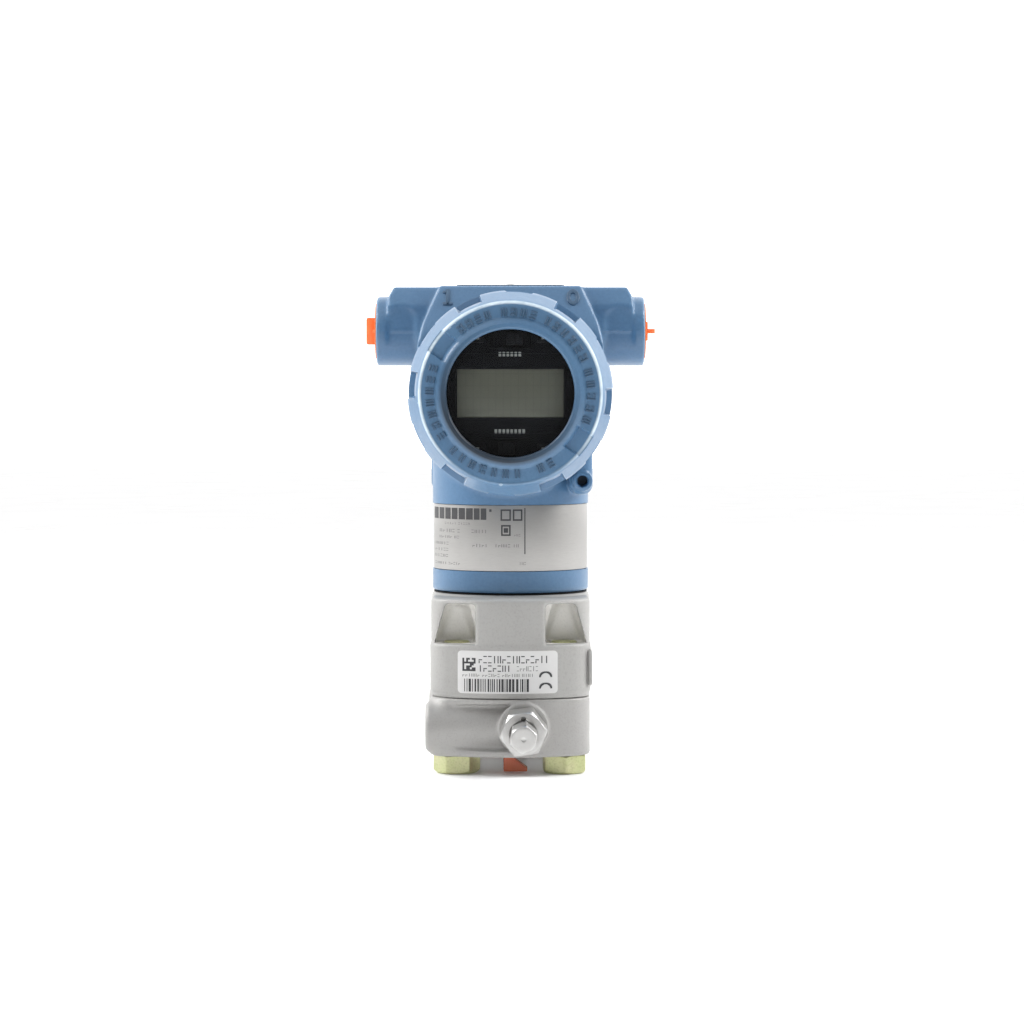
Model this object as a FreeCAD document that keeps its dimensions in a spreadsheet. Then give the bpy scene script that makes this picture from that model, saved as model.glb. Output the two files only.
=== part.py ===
import FreeCAD, Part
import math
import os
from FreeCAD import Vector, Placement, Rotation

# Differential pressure transmitter, coplanar type, with a digital meter.
# Frame: +Z up, origin on the floor below the neck axis, meter cover faces -Y,
# conduit entries along X, vent valves along Y.  Millimetres.

doc = FreeCAD.newDocument("dp_transmitter")
sheet = doc.addObject("Spreadsheet::Sheet", "Dims")

DIMS = [
    # alias, value, meaning
    ("bolt_dx", 20.65, "half spacing of the flange bolts along X"),
    ("bolt_dy", 27.0, "half spacing of the flange bolts along Y"),
    ("bolt_rad", 5.5, "shank radius, 7/16 inch bolt"),
    ("bolt_hole_rad", 5.9, "clearance hole in the flange"),
    ("bolt_tap_rad", 5.6, "tapped hole in the module"),
    ("bolt_head_ac", 9.15, "half the distance across the head's corners"),
    ("bolt_head_hgt", 7.0, "head height"),
    ("bolt_top", 50.8, "height of the bolt's end"),
    ("flange_bot", 7.2, "underside of the flange"),
    ("flange_top", 29.4, "face that seals on the module"),
    ("flange_half_x", 30.7, "half width of the flange"),
    ("flange_lip", 2.3, "thickness of the base plate left of the boss"),
    ("bow_rad", 55.0, "radius of the bowed front and rear faces"),
    ("bow_off", 12.0, "offset of the bow's centre from the middle"),
    ("corner_rad", 6.0, "rounding of the upright corners"),
    ("side_boss_rad", 9.2, "radius of the blind side boss"),
    ("side_boss_y", 32.2, "distance of the side boss from the middle"),
    ("side_boss_z", 18.0, "height of the side boss"),
    ("side_boss_end", 32.6, "closed end of the side boss"),
    ("side_boss_in", 3.0, "length of the side boss past the middle"),
    ("side_back_y", 36.5, "set back face above and below the side boss"),
    ("vent_x", 4.9, "vent valve axis, X"),
    ("vent_z", 18.4, "vent valve axis, Z"),
    ("vent_boss_rad", 9.8, "raised boss round the vent hole"),
    ("vent_boss_y", 43.6, "face of the vent boss"),
    ("vent_tap_rad", 6.6, "tapped hole for the vent seat"),
    ("vent_tap_deep", 9.0, "depth of that hole"),
    ("vent_hex_ac", 9.2, "half the distance across the seat's corners"),
    ("vent_seat_y", 63.0, "front face of the seat's hexagon"),
    ("vent_stem_ac", 5.5, "half the distance across the stem's corners"),
    ("vent_stem_y0", 64.9, "inner end of the stem's hexagon"),
    ("vent_stem_y1", 81.5, "outer end of the stem"),
    ("vent_stem_rad", 3.2, "stem thread radius"),
    ("vent_bore_rad", 3.5, "bore in the seat"),
    ("vent_ball_rad", 2.2, "ball at the stem's tip"),
    ("port_y", 27.0, "process port, distance from the middle"),
    ("port_rad", 6.2, "process port radius"),
    ("port_deep", 14.0, "process port depth"),
    ("drill_rad", 1.6, "small passages"),
    ("diaph_y", 18.0, "isolating diaphragm, distance from the middle"),
    ("diaph_rad", 10.5, "diaphragm radius"),
    ("ring_rad", 12.6, "process seal ring, middle radius"),
    ("ring_sec", 1.2, "process seal ring, section radius"),
    ("mod_bot", 29.6, "underside of the module"),
    ("mod_ledge", 50.2, "ledge at the bolt pockets"),
    ("mod_top", 68.3, "top face of the module"),
    ("mod_half_x", 31.0, "half width of the module"),
    ("mod_neck_rad", 30.4, "round neck of the module"),
    ("mod_cav_rad", 20.0, "cavity inside the module"),
    ("mod_cav_z0", 34.0, "floor of the cavity"),
    ("mod_cav_z1", 63.0, "roof of the cavity"),
    ("block_half_x", 13.4, "half width of the middle block"),
    ("block_top", 66.2, "top of the middle block and the fins"),
    ("pocket_low", 8.4, "pocket half width at the ledge"),
    ("pocket_high", 4.4, "pocket half width at its roof"),
    ("stem_rad", 22.0, "threaded stem of the module"),
    ("stem_bore", 18.0, "bore of the stem"),
    ("stem_top", 92.0, "top of the stem"),
    ("neck_rad", 30.5, "outer radius of the housing neck"),
    ("neck_bot", 69.1, "underside of the housing"),
    ("neck_bore", 22.4, "bore of the housing neck"),
    ("neck_bore_top", 104.0, "roof of the neck bore"),
    ("band_z0", 77.4, "lower edge of the nameplate band"),
    ("band_z1", 103.1, "upper edge of the nameplate band"),
    ("band_out", 30.1, "outer radius of the band"),
    ("band_in", 29.6, "inner radius of the band"),
    ("axis_z", 145.8, "height of the cover axis"),
    ("barrel_rad", 37.2, "outer radius of the barrel"),
    ("barrel_y0", 41.6, "front end of the barrel"),
    ("barrel_y1", 37.6, "rear end of the barrel"),
    ("spigot_rad", 34.0, "threaded spigots for the covers"),
    ("spigot_y0", 56.4, "front spigot end"),
    ("spigot_y1", 48.4, "rear spigot end"),
    ("cav_rad", 31.0, "bore of both compartments"),
    ("wall_y0", 11.0, "front face of the dividing wall"),
    ("wall_y1", 7.5, "rear face of the dividing wall"),
    ("conduit_z", 170.3, "height of the conduit axis"),
    ("conduit_rad", 13.5, "outer radius of the conduit bosses"),
    ("conduit_end", 52.3, "end face of the conduit bosses"),
    ("conduit_tap", 10.3, "conduit entry radius"),
    ("conduit_deep", 17.0, "depth of the conduit entry"),
    ("conduit_in", 7.0, "radius of the passage behind the entry"),
    ("deck_top", 187.3, "top deck of the housing"),
    ("deck_half_x", 46.5, "half length of the deck"),
    ("deck_half_y", 13.0, "half depth of the deck"),
    ("tower_x0", 36.0, "half width of the tower at its foot"),
    ("tower_x1", 24.5, "half width of the tower at the deck"),
    ("tower_y0", 36.0, "half depth of the tower at its foot"),
    ("tower_y1", 22.0, "half depth of the tower at the deck"),
    ("tower_bot", 158.0, "foot of the tower"),
    ("lug_x", 27.4, "cover lock hole, X"),
    ("lug_z", 112.6, "cover lock hole, Z"),
    ("lug_rad", 4.9, "lug round the cover lock hole"),
    ("lug_y0", 41.0, "face of the front lug"),
    ("lug_y1", 37.0, "face of the rear lug"),
    ("lug_hole", 2.0, "radius of the cover lock hole"),
    ("lug_deep", 14.0, "depth of the cover lock hole"),
    ("cover_y0", 42.4, "rear edge of the front cover"),
    ("cover_face", 74.0, "front face of the front cover"),
    ("cover_rad", 38.4, "outer radius of the covers"),
    ("cover_pocket_rad", 35.8, "bottom radius of the rim pockets"),
    ("cover_bore", 34.3, "threaded bore of the covers"),
    ("cover_bore_len", 15.0, "depth of the threaded bore"),
    ("cover_step", 36.9, "seal rebate radius"),
    ("cover_step_len", 1.9, "seal rebate depth"),
    ("cover_edge", 33.6, "bright edge of the face"),
    ("lip_out", 26.4, "outer radius of the window lip"),
    ("window_rad", 23.7, "window opening"),
    ("slot_wide", 9.4, "width of the two slots in the cover face"),
    ("slot_deep", 1.5, "depth of the slots"),
    ("slot_ang", 145.0, "direction of the slots"),
    ("rear_y0", 38.4, "front edge of the rear cover"),
    ("rear_face", 53.5, "face of the rear cover"),
    ("glass_rad", 30.4, "window glass radius"),
    ("glass_thk", 5.0, "window glass thickness"),
    ("oring_rad", 35.6, "cover seal, middle radius"),
    ("oring_sec", 0.95, "cover seal, section radius"),
    ("meter_rad", 28.4, "meter radius"),
    ("meter_y0", 62.3, "front face of the meter"),
    ("meter_y1", 41.0, "rear face of the meter"),
    ("disp_w", 39.7, "display width"),
    ("disp_hgt", 18.0, "display height"),
    ("board_rad", 28.0, "electronics board radius"),
    ("board_y", 30.0, "front face of the electronics board"),
    ("board_thk", 1.6, "board thickness"),
    ("button_x", 15.0, "buttons, distance from the middle"),
    ("button_rad", 3.0, "button radius"),
    ("button_bore", 3.3, "button bore"),
    ("button_deep", 9.0, "depth of the button bores"),
    ("plate_w", 42.0, "label plate length"),
    ("plate_d", 20.0, "label plate depth"),
    ("plate_thk", 0.8, "label plate thickness"),
    ("plug_disc", 10.8, "conduit plug flange radius"),
    ("plug_thk", 0.5, "conduit plug flange thickness"),
    ("plug_shank", 10.1, "conduit plug shank radius"),
    ("grip_w", 10.5, "conduit plug grip width"),
    ("grip_len", 3.7, "conduit plug grip height"),
    ("grip_thk", 1.6, "conduit plug grip thickness"),
    ("label_w", 38.1, "module label width"),
    ("label_hgt", 16.3, "module label height"),
    ("label_z", 39.85, "module label middle height"),
]

sheet.set("A1", "dimension")
sheet.set("B1", "value")
sheet.set("C1", "meaning")
row = 2
for alias, value, meaning in DIMS:
    sheet.set("A%d" % row, alias)
    sheet.set("B%d" % row, repr(value))
    sheet.set("C%d" % row, meaning)
    sheet.setAlias("B%d" % row, alias)
    row += 1
doc.recompute()


class Q:
    """A length taken from the sheet: its value and the expression for it."""

    def __init__(self, v, e):
        self.v = float(v)
        self.e = e

    def __add__(self, o):
        o = q(o)
        return Q(self.v + o.v, "(%s + %s)" % (self.e, o.e))

    __radd__ = __add__

    def __sub__(self, o):
        o = q(o)
        return Q(self.v - o.v, "(%s - %s)" % (self.e, o.e))

    def __rsub__(self, o):
        return q(o) - self

    def __mul__(self, o):
        o = q(o)
        return Q(self.v * o.v, "(%s * %s)" % (self.e, o.e))

    __rmul__ = __mul__

    def __truediv__(self, o):
        o = q(o)
        return Q(self.v / o.v, "(%s / %s)" % (self.e, o.e))

    def __neg__(self):
        return Q(-self.v, "(0 - %s)" % self.e)


def q(x):
    return x if isinstance(x, Q) else Q(x, "%.6f" % x if x >= 0 else "(0 - %.6f)" % -x)


class Sheet:
    pass


D = Sheet()
for alias, value, meaning in DIMS:
    setattr(D, alias, Q(value, "Dims." + alias))

count = [0]


def fresh(stem):
    count[0] += 1
    return "%s_%03d" % (stem, count[0])


def bind(obj, prop, x):
    x = q(x)
    obj.setExpression(prop, x.e)


ROT = {
    "+Z": Rotation(),
    "-Z": Rotation(Vector(1, 0, 0), 180),
    "-Y": Rotation(Vector(1, 0, 0), 90),
    "+Y": Rotation(Vector(1, 0, 0), -90),
    "+X": Rotation(Vector(0, 1, 0), 90),
    "-X": Rotation(Vector(0, 1, 0), -90),
}


def put(obj, at, rot):
    at = [q(c) for c in at]
    obj.Placement = Placement(Vector(at[0].v, at[1].v, at[2].v), rot)
    for axis, c in zip("xyz", at):
        if "Dims" in c.e:
            obj.setExpression("Placement.Base." + axis, c.e)
    return obj


def cyl(r, length, at=(0, 0, 0), axis="+Z", angle=None, spin=0):
    o = doc.addObject("Part::Cylinder", fresh("Cylinder"))
    bind(o, "Radius", r)
    bind(o, "Height", length)
    if angle:
        o.Angle = angle
    return put(o, at, ROT[axis] * Rotation(Vector(0, 0, 1), spin))


def cone(r0, r1, length, at=(0, 0, 0), axis="+Z"):
    o = doc.addObject("Part::Cone", fresh("Cone"))
    bind(o, "Radius1", r0)
    bind(o, "Radius2", r1)
    bind(o, "Height", length)
    return put(o, at, ROT[axis])


def box(x0, x1, y0, y1, z0, z1):
    o = doc.addObject("Part::Box", fresh("Box"))
    bind(o, "Length", q(x1) - q(x0))
    bind(o, "Width", q(y1) - q(y0))
    bind(o, "Height", q(z1) - q(z0))
    return put(o, (x0, y0, z0), Rotation())


def hexa(ac, length, at=(0, 0, 0), axis="+Z", spin=0):
    o = doc.addObject("Part::Prism", fresh("Hex"))
    o.Polygon = 6
    bind(o, "Circumradius", ac)
    bind(o, "Height", length)
    return put(o, at, ROT[axis] * Rotation(Vector(0, 0, 1), spin))


def torus(r0, r1, at, axis="+Z"):
    o = doc.addObject("Part::Torus", fresh("Torus"))
    bind(o, "Radius1", r0)
    bind(o, "Radius2", r1)
    return put(o, at, ROT[axis])


def ball(r, at):
    o = doc.addObject("Part::Sphere", fresh("Sphere"))
    bind(o, "Radius", r)
    return put(o, at, Rotation())


def fuse(*objs):
    o = doc.addObject("Part::MultiFuse", fresh("Fuse"))
    o.Shapes = list(objs)
    o.Refine = True
    return o


def common(*objs):
    o = doc.addObject("Part::MultiCommon", fresh("Common"))
    o.Shapes = list(objs)
    return o


def cut(base, *tools):
    o = doc.addObject("Part::Cut", fresh("Cut"))
    o.Base = base
    if len(tools) == 1:
        o.Tool = tools[0]
    else:
        o.Tool = fuse(*tools)
        o.Tool.Refine = False
    return o


def group(*objs):
    o = doc.addObject("Part::Compound", fresh("Group"))
    o.Links = list(objs)
    return o


def plane_of(body, role):
    for f in body.Origin.OriginFeatures:
        if f.Role == role:
            return f
    raise RuntimeError(role)


def closed_sketch(body, role, pts, name):
    """A closed outline through pts, each corner placed from the sheet."""
    import Sketcher
    sk = body.newObject("Sketcher::SketchObject", fresh(name))
    sk.AttachmentSupport = [(plane_of(body, role), "")]
    sk.MapMode = "FlatFace"
    pts = [(q(a), q(b)) for a, b in pts]
    n = len(pts)
    for i in range(n):
        a, b = pts[i], pts[(i + 1) % n]
        sk.addGeometry(Part.LineSegment(Vector(a[0].v, a[1].v, 0), Vector(b[0].v, b[1].v, 0)), False)
    for i in range(n):
        sk.addConstraint(Sketcher.Constraint("Coincident", i, 2, (i + 1) % n, 1))
    for i, (a, b) in enumerate(pts):
        if abs(a.v) < 1e-9:
            sk.addConstraint(Sketcher.Constraint("PointOnObject", i, 1, -2))
        else:
            k = sk.addConstraint(Sketcher.Constraint("DistanceX", -1, 1, i, 1, a.v))
            if "Dims" in a.e:
                sk.setExpression("Constraints[%d]" % k, a.e)
        if abs(b.v) < 1e-9:
            sk.addConstraint(Sketcher.Constraint("PointOnObject", i, 1, -1))
        else:
            k = sk.addConstraint(Sketcher.Constraint("DistanceY", -1, 1, i, 1, b.v))
            if "Dims" in b.e:
                sk.setExpression("Constraints[%d]" % k, b.e)
    return sk


def turned(pts, at=(0, 0, 0), axis="+Z", spin=0):
    """A turned piece: outline (radius, height) revolved about its own Z."""
    body = doc.addObject("PartDesign::Body", fresh("Turned"))
    sk = closed_sketch(body, "XZ_Plane", pts, "Profile")
    rev = body.newObject("PartDesign::Revolution", fresh("Revolution"))
    rev.Profile = sk
    rev.ReferenceAxis = (sk, ["V_Axis"])
    rev.Angle = 360.0
    body.Tip = rev
    return put(body, at, ROT[axis] * Rotation(Vector(0, 0, 1), spin))


def padded(pts, length, at=(0, 0, 0), rot=None, role="XY_Plane"):
    """An outline in its own XY plane given a thickness."""
    body = doc.addObject("PartDesign::Body", fresh("Padded"))
    sk = closed_sketch(body, role, pts, "Outline")
    pad = body.newObject("PartDesign::Pad", fresh("Pad"))
    pad.Profile = sk
    bind(pad, "Length", length)
    body.Tip = pad
    return put(body, at, rot or Rotation())


def rounded(base, r, test):
    """Round the edges of base that pass test(edge)."""
    doc.recompute()
    edges = [i + 1 for i, e in enumerate(base.Shape.Edges) if test(e)]
    if not edges:
        raise RuntimeError("no edge to round on " + base.Name)
    o = doc.addObject("Part::Fillet", fresh("Fillet"))
    o.Base = base
    o.Edges = [(i, r, r) for i in edges]
    doc.recompute()
    if o.Shape.isNull() or not o.Shape.isValid():
        raise RuntimeError("rounding failed on " + base.Name)
    return o


def upright(e):
    if e.Curve.TypeId != "Part::GeomLine":
        return False
    d = e.Curve.Direction
    return abs(abs(d.z) - 1) < 1e-6


nodes = {}


def node(label, obj):
    obj.Label = label
    nodes[label] = obj
    return obj


def bowed(half_x, z0, z1, r, grow=0.0):
    """Block with bowed front and rear faces and rounded upright corners."""
    b = box(-q(half_x), half_x, -60, 60, z0, z1)
    c1 = cyl(D.bow_rad - grow, q(z1) - q(z0), (0, D.bow_off, z0))
    c2 = cyl(D.bow_rad - grow, q(z1) - q(z0), (0, -D.bow_off, z0))
    return rounded(common(b, c1, c2), r, upright)


SIGN = ((-1, "-Y", "front"), (1, "+Y", "rear"))

# --------------------------------------------------------------------------
# Coplanar process flange: one casting, machined on its faces
# --------------------------------------------------------------------------
plate = bowed(D.flange_half_x, D.flange_bot, D.flange_top, 6.0)
away = []
adds = []
holes = []
for sy, ax, nm in SIGN:
    y_out, y_in = sy * 50.0, sy * D.side_back_y
    lo, hi = (y_out, y_in) if sy < 0 else (y_in, y_out)
    away.append(box(-40, D.vent_x - 1.0, lo, hi, D.flange_bot + D.flange_lip, D.flange_top - 2.0))
    adds.append(cyl(D.side_boss_rad, D.side_boss_end + D.side_boss_in,
                    (-D.side_boss_end, sy * D.side_boss_y, D.side_boss_z), "+X"))
    adds.append(cyl(D.vent_boss_rad, 12.0, (D.vent_x, sy * (D.vent_boss_y - 12.0), D.vent_z), ax))
    adds.append(box(D.vent_x - 1.0, D.vent_x + 6.0,
                    (-D.vent_boss_y + 2.5) if sy < 0 else 30.0,
                    -30.0 if sy < 0 else (D.vent_boss_y - 2.5),
                    D.flange_bot, D.flange_top))
    # vent hole, passage to the port, process port, passage to the chamber
    holes.append(cyl(D.vent_tap_rad, D.vent_tap_deep + 1.0,
                     (D.vent_x, sy * (D.vent_boss_y - D.vent_tap_deep), D.vent_z), ax))
    holes.append(cyl(D.drill_rad, 12.0, (D.vent_x, sy * 26.0, D.vent_z), ax))
    holes.append(cyl(D.port_rad, D.port_deep, (0, sy * D.port_y, D.flange_bot)))
    holes.append(cyl(D.drill_rad, 12.0, (0, sy * 22.5, 18.0)))
    holes.append(cyl(D.diaph_rad, 3.0, (0, sy * D.diaph_y, D.flange_top - 0.8)))
    holes.append(cut(cyl(D.ring_rad + 1.4, 3.0, (0, sy * D.diaph_y, D.flange_top - 2.2)),
                     cyl(D.ring_rad - 1.4, 4.0, (0, sy * D.diaph_y, D.flange_top - 2.7))))
    for sx in (-1, 1):
        holes.append(cyl(D.bolt_hole_rad, 40.0, (sx * D.bolt_dx, sy * D.bolt_dy, 0)))
node("coplanar_flange", cut(fuse(cut(plate, *away), *adds), *holes))

# Flange bolts: hexagon heads with a chamfered crown
bolts = []
for sx in (-1, 1):
    for sy in (-1, 1):
        at = (sx * D.bolt_dx, sy * D.bolt_dy, 0)
        head = common(hexa(D.bolt_head_ac, D.bolt_head_hgt, at, spin=4 if sx < 0 else 34),
                      cone(D.bolt_head_ac - 1.6, D.bolt_head_ac + 12.4, D.bolt_head_hgt * 2, at))
        shank = turned([(0, 0), (D.bolt_rad, 0), (D.bolt_rad, D.bolt_top - 1.0),
                        (D.bolt_rad - 1.0, D.bolt_top), (0, D.bolt_top)], at)
        collar = cyl(D.bolt_head_ac - 1.3, 0.2, (at[0], at[1], D.bolt_head_hgt))
        bolts.append(fuse(head, shank, collar))
node("flange_bolts", group(*bolts))

# Process seal rings
node("process_seal_rings", group(*[
    torus(D.ring_rad, D.ring_sec, (0, sy * D.diaph_y, D.flange_top - 1.0)) for sy in (-1, 1)]))

# Vent valves: seat, ball and stem, front and rear
for sy, ax, nm in SIGN:
    at = (D.vent_x, sy * (D.vent_boss_y - D.vent_tap_deep + 0.4), D.vent_z)
    seat_len = D.vent_seat_y - D.vent_boss_y - 0.1
    shank = cone(D.vent_tap_rad - 0.5, D.vent_tap_rad - 0.1, D.vent_tap_deep - 0.4, at, ax)
    neck = cyl(D.vent_tap_rad - 0.1, 0.6, (D.vent_x, sy * (D.vent_boss_y - 0.3), D.vent_z), ax)
    hx_at = (D.vent_x, sy * (D.vent_boss_y + 0.1), D.vent_z)
    hx = common(hexa(D.vent_hex_ac, seat_len, hx_at, ax, spin=8),
                cone(D.vent_hex_ac + 14.0, D.vent_hex_ac - 1.2, seat_len, hx_at, ax),
                cone(D.vent_hex_ac - 1.0, D.vent_hex_ac + 14.0, seat_len, hx_at, ax))
    bore = cyl(D.vent_bore_rad, 40.0, (D.vent_x, sy * (D.vent_boss_y - 4.0), D.vent_z), ax)
    small = cyl(1.3, 20.0, (D.vent_x, sy * (D.vent_boss_y - 14.0), D.vent_z), ax)
    weep = cyl(0.9, 7.0, (D.vent_x, sy * (D.vent_seat_y - 6.0), D.vent_z + 5.7), ax)
    node("vent_seat_" + nm, cut(fuse(shank, neck, hx), bore, small, weep))
    node("vent_ball_" + nm, ball(D.vent_ball_rad, (D.vent_x, sy * (D.vent_boss_y - 1.3), D.vent_z)))
    tip_y = D.vent_boss_y + 1.2
    stem_len = D.vent_stem_y1 - D.vent_stem_y0
    st_at = (D.vent_x, sy * D.vent_stem_y0, D.vent_z)
    sthex = common(hexa(D.vent_stem_ac, stem_len, st_at, ax, spin=20),
                   cone(D.vent_stem_ac + 14.0, D.vent_stem_ac - 0.8, stem_len, st_at, ax),
                   cone(D.vent_stem_ac - 0.8, D.vent_stem_ac + 14.0, stem_len, st_at, ax))
    rod = turned([(0, 0), (D.vent_stem_rad - 0.8, 0), (D.vent_stem_rad, 1.0),
                  (D.vent_stem_rad, D.vent_stem_y0 - tip_y + 2.0), (0, D.vent_stem_y0 - tip_y + 2.0)],
                 (D.vent_x, sy * tip_y, D.vent_z), ax)
    node("vent_stem_" + nm, fuse(sthex, rod))

# Process port plugs: a shank in the port and a slanted grip below the flange
for sy, ax, nm in SIGN:
    shank = cone(D.port_rad - 0.4, D.port_rad - 0.15, 8.0, (0, sy * D.port_y, D.flange_bot - 0.4))
    outline = [(-2.5, 0.5), (6.6, 0.5), (6.6, 1.7), (-0.4, 6.9), (-2.5, 6.9)]
    grip = padded(outline, 7.0, (0, sy * D.port_y + 3.5, 0), Rotation(Vector(1, 0, 0), 90))
    cap = cyl(D.port_rad - 0.15, 0.5, (0, sy * D.port_y, D.flange_bot - 0.8))
    node("process_plug_" + nm, fuse(shank, cap, grip))

# --------------------------------------------------------------------------
# Sensor module: bolt plate, round neck and threaded stem in one piece
# --------------------------------------------------------------------------
base = bowed(D.mod_half_x, D.mod_bot, D.mod_ledge, 6.0)
upper = bowed(D.mod_half_x - 0.5, D.mod_ledge - 0.5, D.block_top, 6.0, 0.15)
pockets = []
for sx in (-1, 1):
    for sy in (-1, 1):
        at = (sx * D.bolt_dx, sy * D.bolt_dy, D.mod_ledge)
        hgt = D.block_top - D.mod_ledge - 1.2
        pockets.append(cone(D.pocket_low, D.pocket_high, hgt, at))
        # the pocket runs out through the front or rear face
        w_in = D.bolt_dx - D.block_half_x
        if sx < 0:
            prof = [(-D.pocket_low, 0), (w_in, 0), (w_in, hgt), (-D.pocket_high, hgt)]
        else:
            prof = [(D.pocket_low, 0), (D.pocket_high, hgt), (-w_in, hgt), (-w_in, 0)]
        pockets.append(padded(prof, 30.0, (at[0], sy * D.bolt_dy + (0 if sy < 0 else 30.0), at[2]),
                              Rotation(Vector(1, 0, 0), 90)))
body_up = fuse(cut(upper, *pockets), cyl(D.mod_neck_rad, D.mod_top - D.block_top + 1.0, (0, 0, D.block_top - 1.0)),
               cyl(D.mod_cav_rad + 1.2, D.mod_top - D.mod_ledge, (0, 0, D.mod_ledge)))
whole = fuse(base, body_up, cyl(D.stem_rad, D.stem_top - D.mod_top + 1.0, (0, 0, D.mod_top - 1.0)))
mh = [cyl(D.mod_cav_rad, D.mod_cav_z1 - D.mod_cav_z0, (0, 0, D.mod_cav_z0)),
      cyl(D.stem_bore, 60.0, (0, 0, D.mod_cav_z1 - 0.5))]
for sx in (-1, 1):
    for sy in (-1, 1):
        mh.append(cyl(D.bolt_tap_rad, D.mod_ledge - D.mod_bot + 2.2, (sx * D.bolt_dx, sy * D.bolt_dy, D.mod_bot - 1.0)))
for sy in (-1, 1):
    mh.append(cyl(1.0, 8.0, (0, sy * 12.0, D.mod_bot - 1.0)))
    mh.append(cyl(D.diaph_rad + 0.2, 1.5, (0, sy * D.diaph_y, D.mod_bot - 1.0)))
node("sensor_module_body", cut(whole, *mh))

node("isolating_diaphragms", group(*[
    turned([(0, 0), (D.diaph_rad - 0.1, 0), (D.diaph_rad - 0.1, 0.25), (0, 0.25)],
           (0, sy * D.diaph_y, D.mod_bot + 0.05)) for sy in (-1, 1)]))
node("fill_tubes", group(*[
    turned([(0.35, 0), (0.8, 0), (0.8, 9.2), (0.35, 9.2)], (0, sy * 12.0, D.mod_bot + 0.6)) for sy in (-1, 1)]))
node("sensor_capsule", turned([(0, 0), (15.5, 0), (16.5, 1.0), (16.5, 9.0), (12.0, 11.0), (0, 11.0)],
                              (0, 0, D.mod_bot + 10.0)))
mboard = turned([(0, 0), (17.0, 0), (17.0, 1.6), (0, 1.6)], (0, 0, 54.0))
mhead = box(-6, 6, -4, 4, 55.5, 59.5)
mlegs = [cyl(1.6, 3.4, (x, y, 50.7)) for x, y in ((-9, 0), (9, 0))]
node("module_board", fuse(mboard, mhead, *mlegs))

# Seal ring between the module and the housing
node("neck_seal", turned([(26.5, 0), (30.0, 0), (30.0, 0.5), (26.5, 0.5)], (0, 0, D.mod_top + 0.05)))

# Module label: a thin sheet following the bowed face
lab = common(cut(cyl(D.bow_rad + 0.25, 60.0, (0, D.bow_off, 20)), cyl(D.bow_rad + 0.05, 62.0, (0, D.bow_off, 19))),
             box(-D.label_w / 2 - 1.05, D.label_w / 2 - 1.05, -60, -30, D.label_z - D.label_hgt / 2,
                 D.label_z + D.label_hgt / 2))
node("module_label", lab)

# --------------------------------------------------------------------------
# Electronics housing: one casting with two compartments
# --------------------------------------------------------------------------
AZ = D.axis_z
neck = cyl(D.neck_rad, D.axis_z - D.neck_bot, (0, 0, D.neck_bot))
barrel = cyl(D.barrel_rad, D.barrel_y0 + D.barrel_y1, (0, D.barrel_y1, AZ), "-Y")
spig = cyl(D.spigot_rad, D.spigot_y0 + D.spigot_y1, (0, D.spigot_y1, AZ), "-Y")
boss = cyl(D.conduit_rad, D.conduit_end * 2, (-D.conduit_end, 0, D.conduit_z), "+X")
hgt_deck = D.deck_top - D.conduit_z
deck = padded([(-D.deck_half_x - 1.1, 0), (D.deck_half_x + 1.1, 0), (D.deck_half_x + 1.1, hgt_deck - 3.9),
               (D.deck_half_x - 1.1, hgt_deck), (-D.deck_half_x + 1.1, hgt_deck), (-D.deck_half_x - 1.1, hgt_deck - 3.9)],
              D.deck_half_y * 2, (0, D.deck_half_y, D.conduit_z), Rotation(Vector(1, 0, 0), 90))
tower = doc.addObject("Part::Wedge", fresh("Tower"))
tower.Ymin, tower.Ymax = 0, 29.3
for prop, val in (("Xmin", -D.tower_x0), ("Xmax", D.tower_x0), ("Zmin", -D.tower_y0), ("Zmax", D.tower_y0),
                  ("X2min", -D.tower_x1), ("X2max", D.tower_x1), ("Z2min", -D.tower_y1), ("Z2max", D.tower_y1)):
    setattr(tower, prop, val.v)
    bind(tower, prop, val)
bind(tower, "Ymax", D.deck_top - D.tower_bot)
put(tower, (0, 0, D.tower_bot), Rotation(Vector(1, 0, 0), 90))
lug = cyl(D.lug_rad, D.lug_y0 - 6.0, (D.lug_x, -6.0, D.lug_z), "-Y")
lug_web = box(D.lug_x - 11.0, D.lug_x + 3.6, -D.lug_y0 + 1.2, -6.0, D.lug_z, D.lug_z + 12.0)
# the rear cover has the same lug, turned half round
lug2 = cyl(D.lug_rad, D.lug_y1 - 6.0, (-D.lug_x, 6.0, D.lug_z), "+Y")
lug_web2 = box(-D.lug_x - 3.6, -D.lug_x + 11.0, 6.0, D.lug_y1 - 1.2, D.lug_z, D.lug_z + 12.0)
hh = [cyl(D.cav_rad, 80.0, (0, -D.wall_y0, AZ), "-Y"),
      cyl(D.cav_rad, 80.0, (0, -D.wall_y1, AZ), "+Y"),
      cyl(D.neck_bore, D.neck_bore_top - D.neck_bot + 1.0, (0, 0, D.neck_bot - 1.0)),
      box(-9, 9, -20.0, -12.0, D.neck_bore_top - 1.0, 122.0),
      cyl(D.conduit_in, 110.0, (-55, 0, D.conduit_z), "+X"),
      cyl(D.lug_hole, D.lug_deep + 1.0, (D.lug_x, -D.lug_y0 + D.lug_deep, D.lug_z), "-Y"),
      cyl(D.lug_hole, D.lug_deep + 1.0, (-D.lug_x, D.lug_y1 - D.lug_deep, D.lug_z), "+Y"),
      cyl(2.1, 14.0, (0, 20.0, 73.2), "+Y"),
      cut(cyl(D.neck_rad + 5.0, D.band_z1 - D.band_z0, (0, 0, D.band_z0)),
          cyl(D.band_in - 0.05, D.band_z1 - D.band_z0 + 2.0, (0, 0, D.band_z0 - 1.0))),
      cyl(1.6, 9.0, (0, 0, D.deck_top - 7.0))]
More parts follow.
